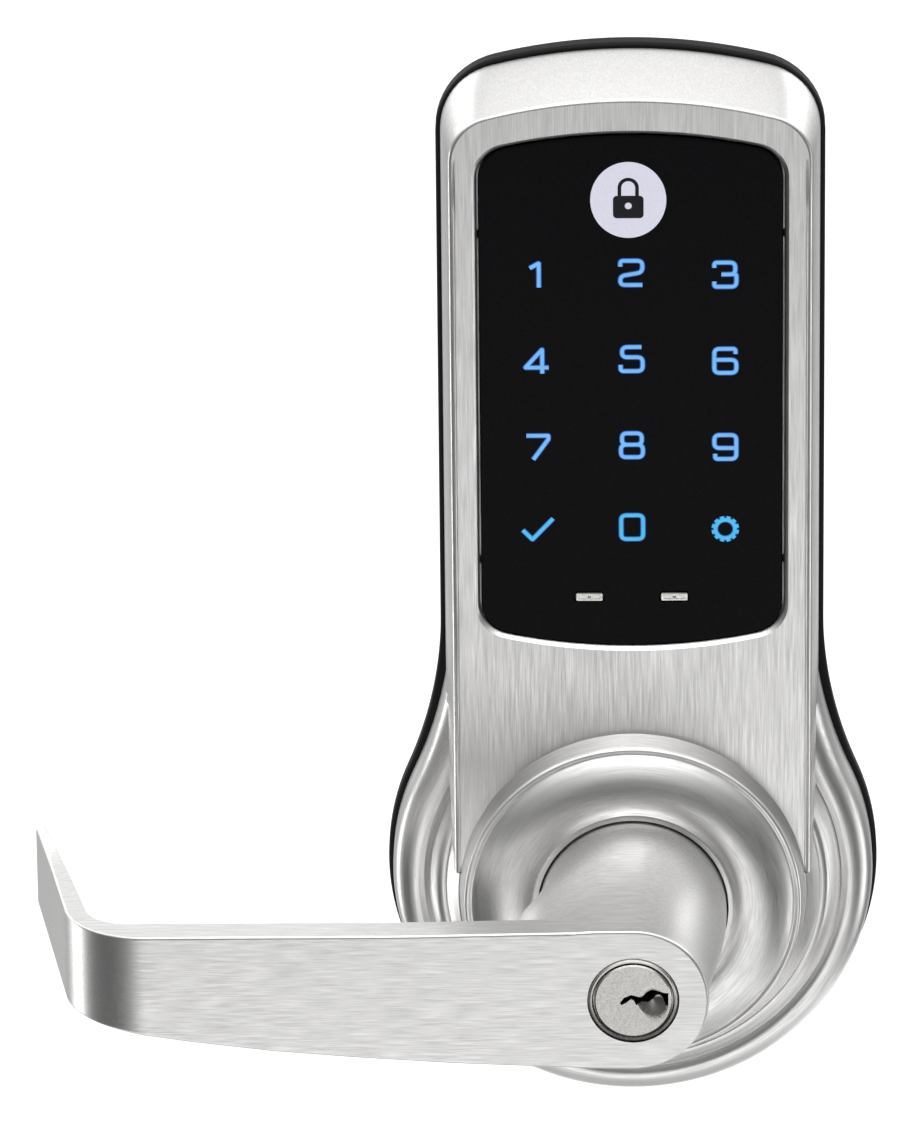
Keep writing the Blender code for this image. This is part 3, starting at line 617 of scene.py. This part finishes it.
class LOCK_OT_cover(bpy.types.Operator):
    """Build the cover: keypad block, rolled rim and rose in one, hollow behind"""
    bl_idname = "lock.cover"
    bl_label = "Cover"

    def execute(self, context):
        cover = keypad_block()
        combine(cover, rolled_rim(), "UNION")
        combine(cover, rose_front(), "UNION")
        chamfer = sizes().chamfer
        window = [(-0.3 * MM, 15.9 * MM), (-0.3 * MM, PANEL_OUT - chamfer),
                  (-0.5 * MM - chamfer, PANEL_OUT + 0.2 * MM), (-0.5 * MM - chamfer, PANEL_OUT + 1 * MM)]
        combine(cover, stacked("window", [level(glass_outline(inset), out) for inset, out in window]))
        combine(cover, rod(NECK_HOLE_R, 20 * MM, 30 * MM, steps=128))
        half, top, back = BLOCK_X - WALL_THICK, BLOCK_TOP - WALL_THICK, METAL_BACK - 1 * MM
        hollow = [level(panel_outline(half, top, 10 * MM), back),
                  level(panel_outline(half - 1.2 * MM, top - 3.6 * MM, 8 * MM), 15 * MM)]
        combine(cover, stacked("hollow", hollow))
        rim_hollow = lock_outline(0, 41.2 * MM, 31.2 * MM, 64 * MM)
        combine(cover, slab("rim_hollow", rim_hollow, METAL_BACK - 0.9 * MM, 8.4 * MM))
        combine(cover, turned("bowl", metres(BOWL), 96))
        finish_piece(cover, "housing", "satin_chrome", cover_finish(), "front_cover")
        return {"FINISHED"}


class LOCK_OT_gasket(bpy.types.Operator):
    """Build the rubber gasket, with a soft front edge and its holes"""
    bl_idname = "lock.gasket"
    bl_label = "Gasket"

    def execute(self, context):
        rings = [level(lock_outline(0.15 * MM), 0), level(lock_outline(0), 0.2 * MM)]
        rings += [level(lock_outline(inset), GASKET_FRONT - drop) for inset, drop in quarter_round(0.7 * MM)]
        gasket = stacked("gasket_skin", rings)
        holes = [(14.8, 0, 0, 96)] + [(5.8, middle(node)[0], 0, 48) for node in POSTS]
        holes.append((6.6, 0, middle("cable_grommet")[1], 48))
        holes += [(3.6, *middle(f"plate_screw_{number}"), 32) for number in range(1, 5)]
        for radius, x, z, steps in holes:
            combine(gasket, rod(radius * MM, -1 * MM, GASKET_FRONT + 1 * MM, x, z, steps))
        rubber = moulded("gasket_rubber", (0.009, 0.009, 0.010), 0.62)
        finish_piece(gasket, "housing", "rubber", rubber, "back_gasket")
        return {"FINISHED"}


def contact_places():
    return [(side * CONTACT_X, CONTACT_Z) for side in (-1, 1)]


class LOCK_OT_glass(bpy.types.Operator):
    """Build the touch glass, with a ground edge and two slots"""
    bl_idname = "lock.glass"
    bl_label = "Touch Glass"

    def execute(self, context):
        edge, ease = 0.3 * MM, 0.1 * MM
        profile = [(ease, GLASS_BACK), (0, GLASS_BACK + ease), (0, GLASS_OUT - edge),
                   (ease, GLASS_OUT - ease), (edge, GLASS_OUT)]
        rings = [level(glass_outline(inset), out) for inset, out in profile]
        glass = stacked("touch_glass_pane", rings)
        for x, z in contact_places():
            slot = rounded_rectangle(x, z, 5.5 * MM, 2.1 * MM, 0.7 * MM)
            combine(glass, slab("slot", slot, GLASS_BACK - 1 * MM, GLASS_OUT + 1 * MM))
        finish_piece(glass, "housing", "black_glass", glass_finish(), "touch_glass")
        return {"FINISHED"}


class LOCK_OT_contacts(bpy.types.Operator):
    """Build the two contact pads below the digits"""
    bl_idname = "lock.contacts"
    bl_label = "Battery Contacts"

    def execute(self, context):
        finish = plain_metal("contact_nickel", (0.78, 0.77, 0.74), 0.2, 2000.0, 0.002 * MM)
        for (x, z), node in zip(contact_places(), ("jump_contact_left", "jump_contact_right")):
            low, high = -reach(node, 1, 1), -reach(node, 1, 0)
            pad = slab("pad", rounded_rectangle(x, z, 4.9 * MM, 1.6 * MM, 0.35 * MM), low, high, 0.18 * MM)
            seat = rounded_rectangle(x, z, 3.9 * MM, 0.8 * MM, 0.1 * MM)
            combine(pad, slab("seat", seat, high - 0.12 * MM, high + 1 * MM))
            combine(pad, rod(0.28 * MM, high - 0.5 * MM, high + 1 * MM, x, z, 24))
            pad.name = f"{node}_pad"
            finish_piece(pad, "housing", "nickel", finish, node)
        return {"FINISHED"}


# ---------------------------------------------------------------- legends

WIDE = 1.95                       # half width and half height of a digit's centre line, in mm
TALL = 2.28
COLUMNS = (-16.7 * MM, 0.1 * MM, 16.7 * MM)
ROWS = (119.3 * MM, 103.0 * MM, 86.6 * MM, 70.9 * MM)
MIDDLE_LIFT = 0.4 * MM            # the middle column stands a little higher

DIGITS = {
    "1": [[(-1.15, 1.35), (0.45, TALL), (0.45, -TALL)]],
    "2": [[(-WIDE, 1.2), (-WIDE, TALL), (WIDE, TALL), (WIDE, 0.1), (-WIDE, -0.6), (-WIDE, -TALL),
           (WIDE, -TALL)]],
    "3": [[(-WIDE, 1.3), (-WIDE, TALL), (1.75, TALL), (1.75, 0.05), (-0.7, 0.05)],
          [(1.2, 0.05), (WIDE, 0.05), (WIDE, -TALL), (-WIDE, -TALL), (-WIDE, -1.3)]],
    "4": [[(0.95, -TALL), (0.95, TALL), (-2.05, -1.15), (2.1, -1.15)]],
    "5": [[(1.75, TALL), (-1.7, TALL), (-1.7, 0.35), (WIDE, 0.35), (WIDE, -TALL), (-WIDE, -TALL),
           (-WIDE, -1.1)]],
    "6": [[(1.8, 1.3), (1.8, TALL), (-WIDE, TALL), (-WIDE, -TALL), (WIDE, -TALL), (WIDE, 0.2),
           (-WIDE, 0.2)]],
    "7": [[(-WIDE, TALL), (WIDE, TALL), (WIDE, 1.6), (-0.75, -TALL)]],
    "8": [[(0, TALL), (1.75, TALL), (1.75, 0.1), (-1.75, 0.1), (-1.75, TALL), (0, TALL)],
          [(0, 0.1), (WIDE, 0.1), (WIDE, -TALL), (-WIDE, -TALL), (-WIDE, 0.1), (0, 0.1)]],
    "9": [[(-1.8, -1.3), (-1.8, -TALL), (WIDE, -TALL), (WIDE, TALL), (-WIDE, TALL), (-WIDE, -0.2),
           (WIDE, -0.2)]],
    "0": [[(0, TALL), (WIDE, TALL), (WIDE, -TALL), (-WIDE, -TALL), (-WIDE, TALL), (0, TALL)]],
    "tick": [[(-2.7, -0.1), (-1.0, -1.9), (2.7, 2.1)]],
}
LEGENDS = ("1", "2", "3", "4", "5", "6", "7", "8", "9", "tick", "0", "gear")
SHARP = ("gear", "tick", "1", "4", "7")
SHARP_CORNER, ROUND_CORNER = 0.1, 0.95
HALO_WIDTH = 1.55                 # times the stroke's width
GEAR_TEETH = 12


def rounded_path(points, radius):
    """Round the inner corners of a stroke by arcs of quadratic curves."""
    path = [points[0]]
    for before, corner, after in zip(points, points[1:], points[2:]):
        start, end = (Vector(p) - Vector(corner) for p in (before, after))
        cut = min(radius, start.length / 2, end.length / 2)
        start, end = Vector(corner) + start.normalized() * cut, Vector(corner) + end.normalized() * cut
        for i in range(7):
            t = i / 6
            path.append(tuple(start * (1 - t) ** 2 + Vector(corner) * 2 * t * (1 - t) + end * t * t))
    return path + [points[-1]]


def gear_strokes():
    ring = [(1.75 * math.cos(a), 1.75 * math.sin(a)) for a in (2 * math.pi * i / 36 for i in range(37))]
    teeth = []
    for i in range(GEAR_TEETH):
        angle = 2 * math.pi * (i + 0.5) / GEAR_TEETH
        teeth.append([(r * math.cos(angle), r * math.sin(angle)) for r in (1.8, 2.45)])
    return [ring] + teeth


def lit_stroke(strokes, x, z, width, low, high, corner):
    """Strokes as flattened tubes between two heights."""
    deselect()
    curve = bpy.data.curves.new("stroke", "CURVE")
    curve.dimensions = "3D"
    curve.bevel_depth = width / 2
    curve.bevel_resolution = 2
    curve.use_fill_caps = True
    for stroke in strokes:
        path = rounded_path(stroke, corner)
        spline = curve.splines.new("POLY")
        spline.points.add(len(path) - 1)
        for point, (u, v) in zip(spline.points, path):
            point.co = (u * MM, 0, v * MM, 1)
    obj = bpy.data.objects.new("stroke", curve)
    bpy.context.collection.objects.link(obj)
    select(obj)
    bpy.ops.object.convert(target="MESH")
    obj.scale = (1, (high - low) / width, 1)
    obj.location = at(x, z, (low + high) / 2)
    bpy.ops.object.transform_apply(location=True, rotation=True, scale=True)
    return obj


class LOCK_OT_legends(bpy.types.Operator):
    """Light the twelve legends under the glass, each with a soft halo"""
    bl_idname = "lock.legends"
    bl_label = "Legends"

    def execute(self, context):
        width = sizes().stroke
        core = light_finish("legend_glow", tuple(colours().glow))
        low_core = light_finish("legend_glow_low", tuple(colours().low_glow))
        halo = light_finish("legend_halo", tuple(colours().halo))
        for index, name in enumerate(LEGENDS):
            row, column = divmod(index, 3)
            x, z = COLUMNS[column], ROWS[row] + (MIDDLE_LIFT if column == 1 else 0)
            strokes = gear_strokes() if name == "gear" else DIGITS[name]
            corner = SHARP_CORNER if name in SHARP else ROUND_CORNER
            low, high = GLASS_OUT - 0.05 * MM, GLASS_OUT + 0.07 * MM
            glow = lit_stroke(strokes, x, z, width, low, high, corner)
            spill = lit_stroke(strokes, x, z, width * HALO_WIDTH, low, GLASS_OUT + 0.03 * MM, corner)
            glow.name = glow.data.name = f"legend_{name}"
            spill.name = spill.data.name = f"legend_{name}_halo"
            finish_piece(glow, "housing", "clear_plastic", low_core if row == 3 else core)
            finish_piece(spill, "housing", "clear_plastic", halo)
        return {"FINISHED"}


class LOCK_OT_badge(bpy.types.Operator):
    """Build the pale printed disc with a plain padlock sign"""
    bl_idname = "lock.badge"
    bl_label = "Badge"

    def execute(self, context):
        x, z, half_wide, half_tall = -0.4 * MM, 133.4 * MM, 6.7 * MM, 7.1 * MM
        low, high = GLASS_OUT - 0.05 * MM, GLASS_OUT + 0.06 * MM
        angles = [2 * math.pi * i / 96 for i in range(96)]
        oval = [(x + half_wide * math.cos(a), z + half_tall * math.sin(a)) for a in angles]
        disc = slab("badge_disc", oval, low, high)
        finish_piece(disc, "housing", "black_glass", badge_finish())
        ink = moulded("badge_ink", (0.012, 0.012, 0.016), 0.3)
        ink_out = high + 0.03 * MM
        case = rounded_rectangle(x, z - 1.3 * MM, 5.4 * MM, 4.2 * MM, 0.7 * MM)
        body = slab("badge_padlock", case, low, ink_out)
        combine(body, rod(0.62 * MM, low - 1 * MM, high + 1 * MM, x, z - 1.1 * MM, 32))
        finish_piece(body, "housing", "black_glass", ink)
        reach_x, foot, spring = 1.55, -1.4, 0.4
        angles = [math.pi * (1 - i / 12) for i in range(1, 12)]
        bow = [(reach_x * math.cos(a), spring + reach_x * math.sin(a)) for a in angles]
        hoop = [(-reach_x, foot), (-reach_x, spring)] + bow + [(reach_x, spring), (reach_x, foot)]
        shackle = lit_stroke([hoop], x, z + 1.9 * MM, 0.85 * MM, low, ink_out, 0.01)
        shackle.name = shackle.data.name = "badge_shackle"
        finish_piece(shackle, "housing", "black_glass", ink)
        return {"FINISHED"}


# ---------------------------------------------------------------- lever

def hub_section(share):
    """From the round neck to a section with a square left side, for the bar to grow from."""
    ease = share * share * (3 - 2 * share)
    right = NECK_R + (HUB_R - NECK_R) * ease
    left = NECK_R + (HUB_LEFT - NECK_R) * min(1.0, 1.5 * ease)
    power = 1 - 0.45 * ease
    points = []
    steps = 96
    for i in range(steps):
        angle = 2 * math.pi * i / steps
        c, s = math.cos(angle), math.sin(angle)
        if c >= 0:
            points.append((right * c, right * s))
        else:
            points.append((-left * abs(c) ** power, math.copysign(right * abs(s) ** power, s)))
    return points


def hub():
    """Neck and hub: a loft that ends in the lever's flat front."""
    levels, edge = 20, sizes().edge
    near, far = 27 * MM, LEVER_OUT - 3 * MM
    rings = [level(hub_section(0), NECK_BACK)]
    rings += [level(hub_section(i / levels), near + (far - near) * i / levels) for i in range(levels + 1)]
    for inset, drop in quarter_round(edge):
        shrink = 1 - inset / HUB_R
        rings.append([at(x * shrink, z * shrink, LEVER_OUT - drop) for x, z in hub_section(1)])
    return stacked("lever_skin", rings)


# The bar's upper and lower edges as (x, z) in mm
BAR_TOP = [(-112, 8.7), (-108, 10.3), (-104, 11.9), (-100, 12.4), (-70, 12.5), (-40, 12.6), (-20, 13.0),
           (-2, 13.3)]
BAR_BOTTOM = [(-112, -4.6), (-105, -4.8), (-98, -5.2), (-91, -6.0), (-79, -7.9), (-64, -9.8), (-49, -11.1),
              (-31, -12.3), (-15, -13.0), (-2, -13.3)]
# The bend's front and back arcs in plan: centre's x and radius, and degrees turned
OUTER_X, OUTER_R, OUTER_TURN = -86.0 * MM, 15.2 * MM, 79.5
INNER_X, INNER_R, INNER_TURN = -89.5 * MM, 7.5 * MM, 76.8
TIP_THICK = 1.8 * MM


def along(table, x):
    """Read a height off a table of (x, height) in millimetres."""
    return float(np.interp(x / MM, [row[0] for row in table], [row[1] for row in table])) * MM


def between(first, last, share):
    return tuple(a + (b - a) * share for a, b in zip(first, last))


def bar_stations():
    """Pairs of points in plan, front face and back face, from the hub round the bend to the tip."""
    start, straight, bend, arm = -3.0 * MM, 30, 20, 14
    pairs = []
    for i in range(straight):
        share = i / straight
        pairs.append(((start + (OUTER_X - start) * share, LEVER_OUT),
                      (start + (INNER_X - start) * share, BAR_BACK)))
    for i in range(bend + 1):
        a, b = (math.radians(90 + turn * (i / bend)) for turn in (OUTER_TURN, INNER_TURN))
        pairs.append(((OUTER_X + OUTER_R * math.cos(a), LEVER_OUT - OUTER_R + OUTER_R * math.sin(a)),
                      (INNER_X + INNER_R * math.cos(b), BAR_BACK - INNER_R + INNER_R * math.sin(b))))
    outer_end, inner_end = pairs[-1]
    outer_tip, inner_tip = (TIP_X, TIP_OUT), (TIP_X + TIP_THICK, TIP_OUT)
    for i in range(1, arm + 1):
        pairs.append((between(outer_end, outer_tip, i / arm), between(inner_end, inner_tip, i / arm)))
    return pairs


def lever_bar():
    """The bent bar: a rounded section carried along the stations."""
    edge = sizes().edge
    rings = []
    for (outer_x, outer_out), (inner_x, inner_out) in bar_stations():
        outer, inner = Vector((outer_x, outer_out)), Vector((inner_x, inner_out))
        thick = (outer - inner).length
        corner = quarter_round(min(edge, thick * 0.3))
        profile = corner + [(thick - depth, inset) for depth, inset in reversed(corner)]
        ring = []
        for table, sign, side in ((BAR_TOP, -1, profile), (BAR_BOTTOM, 1, profile[::-1])):
            for depth, inset in side:
                place = inner + (outer - inner) * (depth / thick)
                ring.append(at(place.x, along(table, place.x) + sign * inset, place.y))
        rings.append(ring)
    return stacked("bar", rings)


class LOCK_OT_lever(bpy.types.Operator):
    """Build the lever: round neck, hub and a bar that bends back to the door"""
    bl_idname = "lock.lever"
    bl_label = "Lever"

    def execute(self, context):
        gap, bible_half = 0.3 * MM, 4.1 * MM
        lever = hub()
        combine(lever, lever_bar(), "UNION")
        combine(lever, rod(SLEEVE_R + gap, 20 * MM, SLEEVE_OUT + gap, steps=96))
        combine(lever, rod(SHELL_R + 0.2 * MM, 22 * MM, 70 * MM, steps=128))
        combine(lever, block((BIBLE_END - gap, -bible_half, 21 * MM), (0, bible_half, 63.7 * MM)))
        catch_hole(lever, 2.7 * MM, 9 * MM, 13 * MM)
        catch_hole(lever, 1.3 * MM, 12 * MM, 20 * MM)
        finish_piece(lever, "lever", "satin_chrome", lever_finish(), "lever")
        return {"FINISHED"}


# ---------------------------------------------------------------- key cylinder

# The zigzag slot that the key's blade follows, as a closed outline in mm
KEYWAY = [(-2.4, -0.4), (-1.7, 0.6), (-0.4, 1.2), (0.7, 0.9), (1.5, 0.6), (2.3, 1.5), (3.3, 2.1), (5.2, 1.6),
          (6.2, 1.5), (6.2, -0.9), (5.7, -0.8), (5.2, 0.6), (4.6, 1.0), (4.1, 0.8), (3.5, -0.2), (2.6, -0.6),
          (1.5, -0.2), (0.5, -0.8), (0.1, 0.1), (-0.4, 0.4), (-1.2, -0.3), (-2.1, -0.75)]


class LOCK_OT_cylinder(bpy.types.Operator):
    """Build the key cylinder's shell and plug, with the keyway and its dimple"""
    bl_idname = "lock.cylinder"
    bl_label = "Key Cylinder"

    def execute(self, context):
        bore, seat = PLUG_R + 0.3 * MM, FACE_R + 0.22 * MM
        front = LEVER_OUT
        profile = [(seat, front - 1.4 * MM), (seat, front - 0.25 * MM), (seat + 0.2 * MM, front + 0.05 * MM),
                   (SHELL_R - 0.35 * MM, front + 0.1 * MM), (SHELL_R, front - 0.25 * MM),
                   (SHELL_R, SHELL_BACK), (bore, SHELL_BACK), (bore, front - 1.4 * MM)]
        shell = turned("cylinder_shell_ring", profile, closed=True)
        bible_half = 3.8 * MM
        bible = block((BIBLE_END, -bible_half, SHELL_BACK), (-7.3 * MM, bible_half, 63.4 * MM))
        combine(shell, bible, "UNION")
        finish_piece(shell, "lever", "satin_nickel", cylinder_finish("turned_shell"), "cylinder_shell")

        front, tail = PLUG_OUT, PLUG_BACK
        profile = [(0, front), (FACE_R - 0.25 * MM, front), (FACE_R, front - 0.25 * MM),
                   (FACE_R, front - 1.2 * MM), (PLUG_R, front - 1.3 * MM), (PLUG_R, tail + 2.5 * MM),
                   (4.9 * MM, tail + 2.5 * MM), (4.9 * MM, tail + 1.2 * MM), (6.0 * MM, tail + 1.2 * MM),
                   (6.0 * MM, tail), (0, tail)]
        plug = turned("cylinder_plug_face", profile)
        combine(plug, slab("keyway", metres(KEYWAY), 38 * MM, front + 1 * MM))
        rim = 2.65 * MM
        cone = [(0, front - 1.5 * MM), (rim, front + 0.02 * MM), (rim, front + 1 * MM), (0, front + 1 * MM)]
        combine(plug, turned("dimple", cone, 64, 3.4 * MM))
        finish_piece(plug, "plug", "satin_nickel", cylinder_finish("turned_plug", False), "cylinder_plug")
        return {"FINISHED"}


# ---------------------------------------------------------------- parts seen from behind

class LOCK_OT_spindle(bpy.types.Operator):
    """Build the spindle sleeve and the two threaded posts"""
    bl_idname = "lock.spindle"
    bl_label = "Spindle and Posts"

    def execute(self, context):
        zinc = plain_metal("zinc_plate", (0.62, 0.61, 0.57), 0.34)
        for node in POSTS:
            x, back, front = middle(node)[0], -reach(node, 1, 1), -reach(node, 1, 0)
            thread = [(2.1 * MM + (0.25 * MM if i % 2 else 0), back + 0.4 * MM * (i + 1)) for i in range(38)]
            profile = [(2.5 * MM, back), (3.7 * MM, back), (4.0 * MM, back + 0.3 * MM), (4.0 * MM, 1.6 * MM),
                       (5.2 * MM, 1.6 * MM), (5.5 * MM, 1.8 * MM), (5.5 * MM, GASKET_FRONT),
                       (3.0 * MM, GASKET_FRONT), (3.0 * MM, front - 0.8 * MM), (4.0 * MM, front - 0.8 * MM),
                       (4.2 * MM, front - 0.6 * MM), (4.0 * MM, front), (0, front)]
            post = turned(f"{node}_turned", profile, 48)
            mouth = [(0, back - 1 * MM), (2.6 * MM, back - 1 * MM), (2.6 * MM, back)]
            bore = turned("bore", mouth + thread + [(0, thread[-1][1])], 48)
            for obj in (post, bore):
                obj.data.transform(Matrix.Translation((x, 0, 0)))
            combine(post, bore)
            finish_piece(post, "housing", "zinc_steel", zinc, node)

        back, front, bore_r, ring_r = -reach("spindle_sleeve", 1, 1), SLEEVE_OUT, 8.7 * MM, 9.5 * MM
        profile = [(SLEEVE_R, front - 0.3 * MM), (SLEEVE_R, 17.4 * MM), (ring_r, 17.4 * MM),
                   (ring_r, 16 * MM), (SLEEVE_R, 16 * MM), (SLEEVE_R, back + 0.5 * MM),
                   (SLEEVE_R - 0.4 * MM, back),
                   (bore_r + 0.3 * MM, back), (bore_r, back + 0.3 * MM), (bore_r, front),
                   (SLEEVE_R - 0.3 * MM, front)]
        sleeve = turned("spindle_sleeve_turned", profile, 128, closed=True)
        combine(sleeve, block((-12 * MM, -2 * MM, 12 * MM), (12 * MM, 2 * MM, 15.6 * MM)))
        combine(sleeve, block((-2.5 * MM, -12 * MM, back - 1 * MM), (2.5 * MM, 12 * MM, back + 6 * MM)))
        catch_hole(sleeve, 2.6 * MM, 5 * MM, 12 * MM)
        sintered = plain_metal("sintered_steel", (0.42, 0.42, 0.43), 0.4)
        finish_piece(sleeve, "lever", "steel", sintered, "spindle_sleeve")
        return {"FINISHED"}


class LOCK_OT_frame_finishes(bpy.types.Operator):
    """Give every CAD part that stays in view or inside its own finish"""
    bl_idname = "lock.frame_finishes"
    bl_label = "Inner Finishes"

    def execute(self, context):
        finishes = {
            "rubber": moulded("grommet_rubber", (0.02, 0.02, 0.021), 0.7),
            "steel": plain_metal("bare_steel", (0.44, 0.44, 0.45), 0.42),
            "zinc_steel": plain_metal("zinc_screws", (0.60, 0.59, 0.55), 0.36),
            "spring_steel": plain_metal("spring_wire", (0.33, 0.33, 0.34), 0.34),
            "bronze": plain_metal("bronze", (0.56, 0.38, 0.17), 0.38),
            "clear_plastic": moulded("light_guide", (0.6, 0.63, 0.66), 0.25),
            "circuit_board": moulded("solder_mask", (0.01, 0.13, 0.05), 0.4),
            "black_plastic": moulded("black_moulding", (0.025, 0.025, 0.027), 0.5),
            "white_plastic": moulded("white_moulding", (0.72, 0.71, 0.66), 0.45),
        }
        slots = {row["node"]: row["material_slot"] for row in frame["record"]["subparts"]}
        for node, obj in frame["nodes"].items():
            if not obj.hide_render and slots[node] in finishes:
                obj.data.materials.clear()
                obj.data.materials.append(finishes[slots[node]])
        return {"FINISHED"}


# ---------------------------------------------------------------- stage

STUDIO_LEAN = (-0.35, 0.45, 0.9)  # the room brightens upwards and behind, and darkens to the sides
# Place along that lean, and the room's grey there: what the metal mirrors
STUDIO_GREYS = ((0.0, 0.05), (0.30, 0.14), (0.38, 0.18), (0.42, 0.33), (0.50, 0.38), (0.60, 1.1),
                (0.66, 1.9), (0.77, 1.9), (0.81, 0.62), (0.87, 0.85), (0.93, 1.1), (1.0, 1.05))
# Name, place, aim, width, height and power
SOFTBOXES = (("overhead", (0.0, -0.3, 1.4), (0, -0.02, 0.05), 0.5, 0.5, 4),
             ("left_strip", (-1.25, 0.42, -0.42), (-0.1, -0.05, 0), 0.26, 0.8, 3.4),
             ("right_strip", (1.4, -0.1, -0.45), (0, -0.02, 0), 0.45, 1.0, 3))


def softbox(name, place, aim, width, height, power):
    light = bpy.data.lights.new(name, "AREA")
    light.shape = "RECTANGLE"
    light.size, light.size_y = width, height
    light.energy = power
    obj = bpy.data.objects.new(name, light)
    obj.location = place
    obj.rotation_mode = "QUATERNION"
    obj.rotation_quaternion = (Vector(aim) - Vector(place)).to_track_quat("-Z", "Y")
    bpy.context.scene.collection.objects.link(obj)


class LOCK_OT_stage(bpy.types.Operator):
    """Set the pale floor, the soft studio light and the camera"""
    bl_idname = "lock.stage"
    bl_label = "Stage"

    def execute(self, context):
        self.floor()
        self.lights()
        self.camera()
        return {"FINISHED"}

    def floor(self):
        """Pale paper under the lock, with a painted shadow: greyer right below it."""
        deselect()
        bpy.ops.mesh.primitive_plane_add(size=1, location=(0.03, 0, -0.5))
        floor = bpy.context.object
        floor.name = "floor"
        floor.scale = (0.86, 3.9, 1)
        bpy.ops.object.transform_apply(location=True, rotation=True, scale=True)
        finish = Finish("pale_floor")
        x, y = finish.split(finish.place)[:2]
        # painted shadow: the floor's glow is grey right under the lock and fades to white further away
        painted_shadow_fade = (x * x + y * y).clamped(0.05, 0.17)
        finish.set(Base_Color=(0.02, 0.02, 0.02, 1.0), Roughness=1.0, Emission_Strength=1.2,
                   Emission_Color=finish.mix(painted_shadow_fade, (0.40, 0.40, 0.40), (1.0, 1.0, 1.0)))
        floor.data.materials.append(finish.material)

    def lights(self):
        """White paper to the camera; to the metal, a room of greys along its lean, and softboxes."""
        scene = bpy.context.scene
        scene.view_settings.view_transform = "Standard"
        scene.world = bpy.data.worlds.new("studio")
        scene.world.use_nodes = True
        room = Graph(scene.world.node_tree)
        x, y, z = room.split(room.node("ShaderNodeTexCoord", output="Generated"))
        folded = room.node("ShaderNodeCombineXYZ", {}, {"X": room.math("ABSOLUTE", x), "Y": y, "Z": z})
        lean = room.node("ShaderNodeVectorMath", {"operation": "DOT_PRODUCT"}, {0: folded, 1: STUDIO_LEAN},
                         "Value")
        height = room.node("ShaderNodeMapRange", {}, {"Value": lean, "From Min": -1.0})
        greys = room.node("ShaderNodeValToRGB", {}, {0: height})
        elements = greys.socket.node.color_ramp.elements
        for position, grey in STUDIO_GREYS[1:-1]:
            elements.new(position)
        for element, (position, grey) in zip(elements, STUDIO_GREYS):
            element.color = (grey, grey, grey, 1.0)
        seen = room.node("ShaderNodeLightPath", output="Is Camera Ray")
        room.feed(room.tree.nodes["Background"].inputs["Color"], room.mix(seen, greys, (1, 1, 1)))
        for box in SOFTBOXES:
            softbox(*box)

    def camera(self):
        """Above the lock and looking down at it, with the photo's small turns."""
        tilt, distance, rise = math.radians(22), 1.845, 0.0574
        yaw, pitch, roll = (math.radians(angle) for angle in (0.972, -0.147, -0.2))
        right = Vector((1, 0, 0))
        back = Vector((0, -math.cos(tilt), math.sin(tilt)))
        up = back.cross(right)
        data = bpy.data.cameras.new("camera")
        data.sensor_width, data.lens = 36, 323.0
        data.clip_start, data.clip_end = 0.05, 50
        camera = bpy.data.objects.new("camera", data)
        upright = Matrix((right, up, back)).transposed()
        turn = Matrix.Rotation(yaw, 3, "Y") @ Matrix.Rotation(pitch, 3, "X") @ Matrix.Rotation(roll, 3, "Z")
        camera.matrix_world = Matrix.Translation(back * distance + up * rise) @ (upright @ turn).to_4x4()
        bpy.context.scene.collection.objects.link(camera)
        bpy.context.scene.camera = camera


class LOCK_PT_panel(bpy.types.Panel):
    """The lock's builders, in the 3D view's sidebar"""
    bl_label = "Keypad Lever Lock"
    bl_idname = "LOCK_PT_panel"
    bl_space_type = "VIEW_3D"
    bl_region_type = "UI"
    bl_category = "Lock"

    def draw(self, context):
        for name in ("edge", "chamfer", "groove", "stroke"):
            self.layout.prop(context.scene.lock_sizes, name)
        for name in ("metal", "glow", "low_glow", "halo", "badge"):
            self.layout.prop(context.scene.lock_colours, name)
        for operator in OPERATORS:
            self.layout.operator(operator.bl_idname)


OPERATORS = (LOCK_OT_cover, LOCK_OT_gasket, LOCK_OT_glass, LOCK_OT_contacts, LOCK_OT_legends, LOCK_OT_badge,
             LOCK_OT_lever, LOCK_OT_cylinder, LOCK_OT_spindle, LOCK_OT_frame_finishes, LOCK_OT_stage)
CLASSES = (LockSizes, LockColours) + OPERATORS + (LOCK_PT_panel,)


def register():
    for cls in CLASSES:
        bpy.utils.register_class(cls)
    bpy.types.Scene.lock_sizes = bpy.props.PointerProperty(type=LockSizes)
    bpy.types.Scene.lock_colours = bpy.props.PointerProperty(type=LockColours)


def unregister():
    del bpy.types.Scene.lock_colours
    del bpy.types.Scene.lock_sizes
    for cls in reversed(CLASSES):
        bpy.utils.unregister_class(cls)


def main():
    register()
    for operator in OPERATORS:
        group, name = operator.bl_idname.split(".")
        getattr(getattr(bpy.ops, group), name)()
    deselect()


if __name__ == "__main__":
    main()
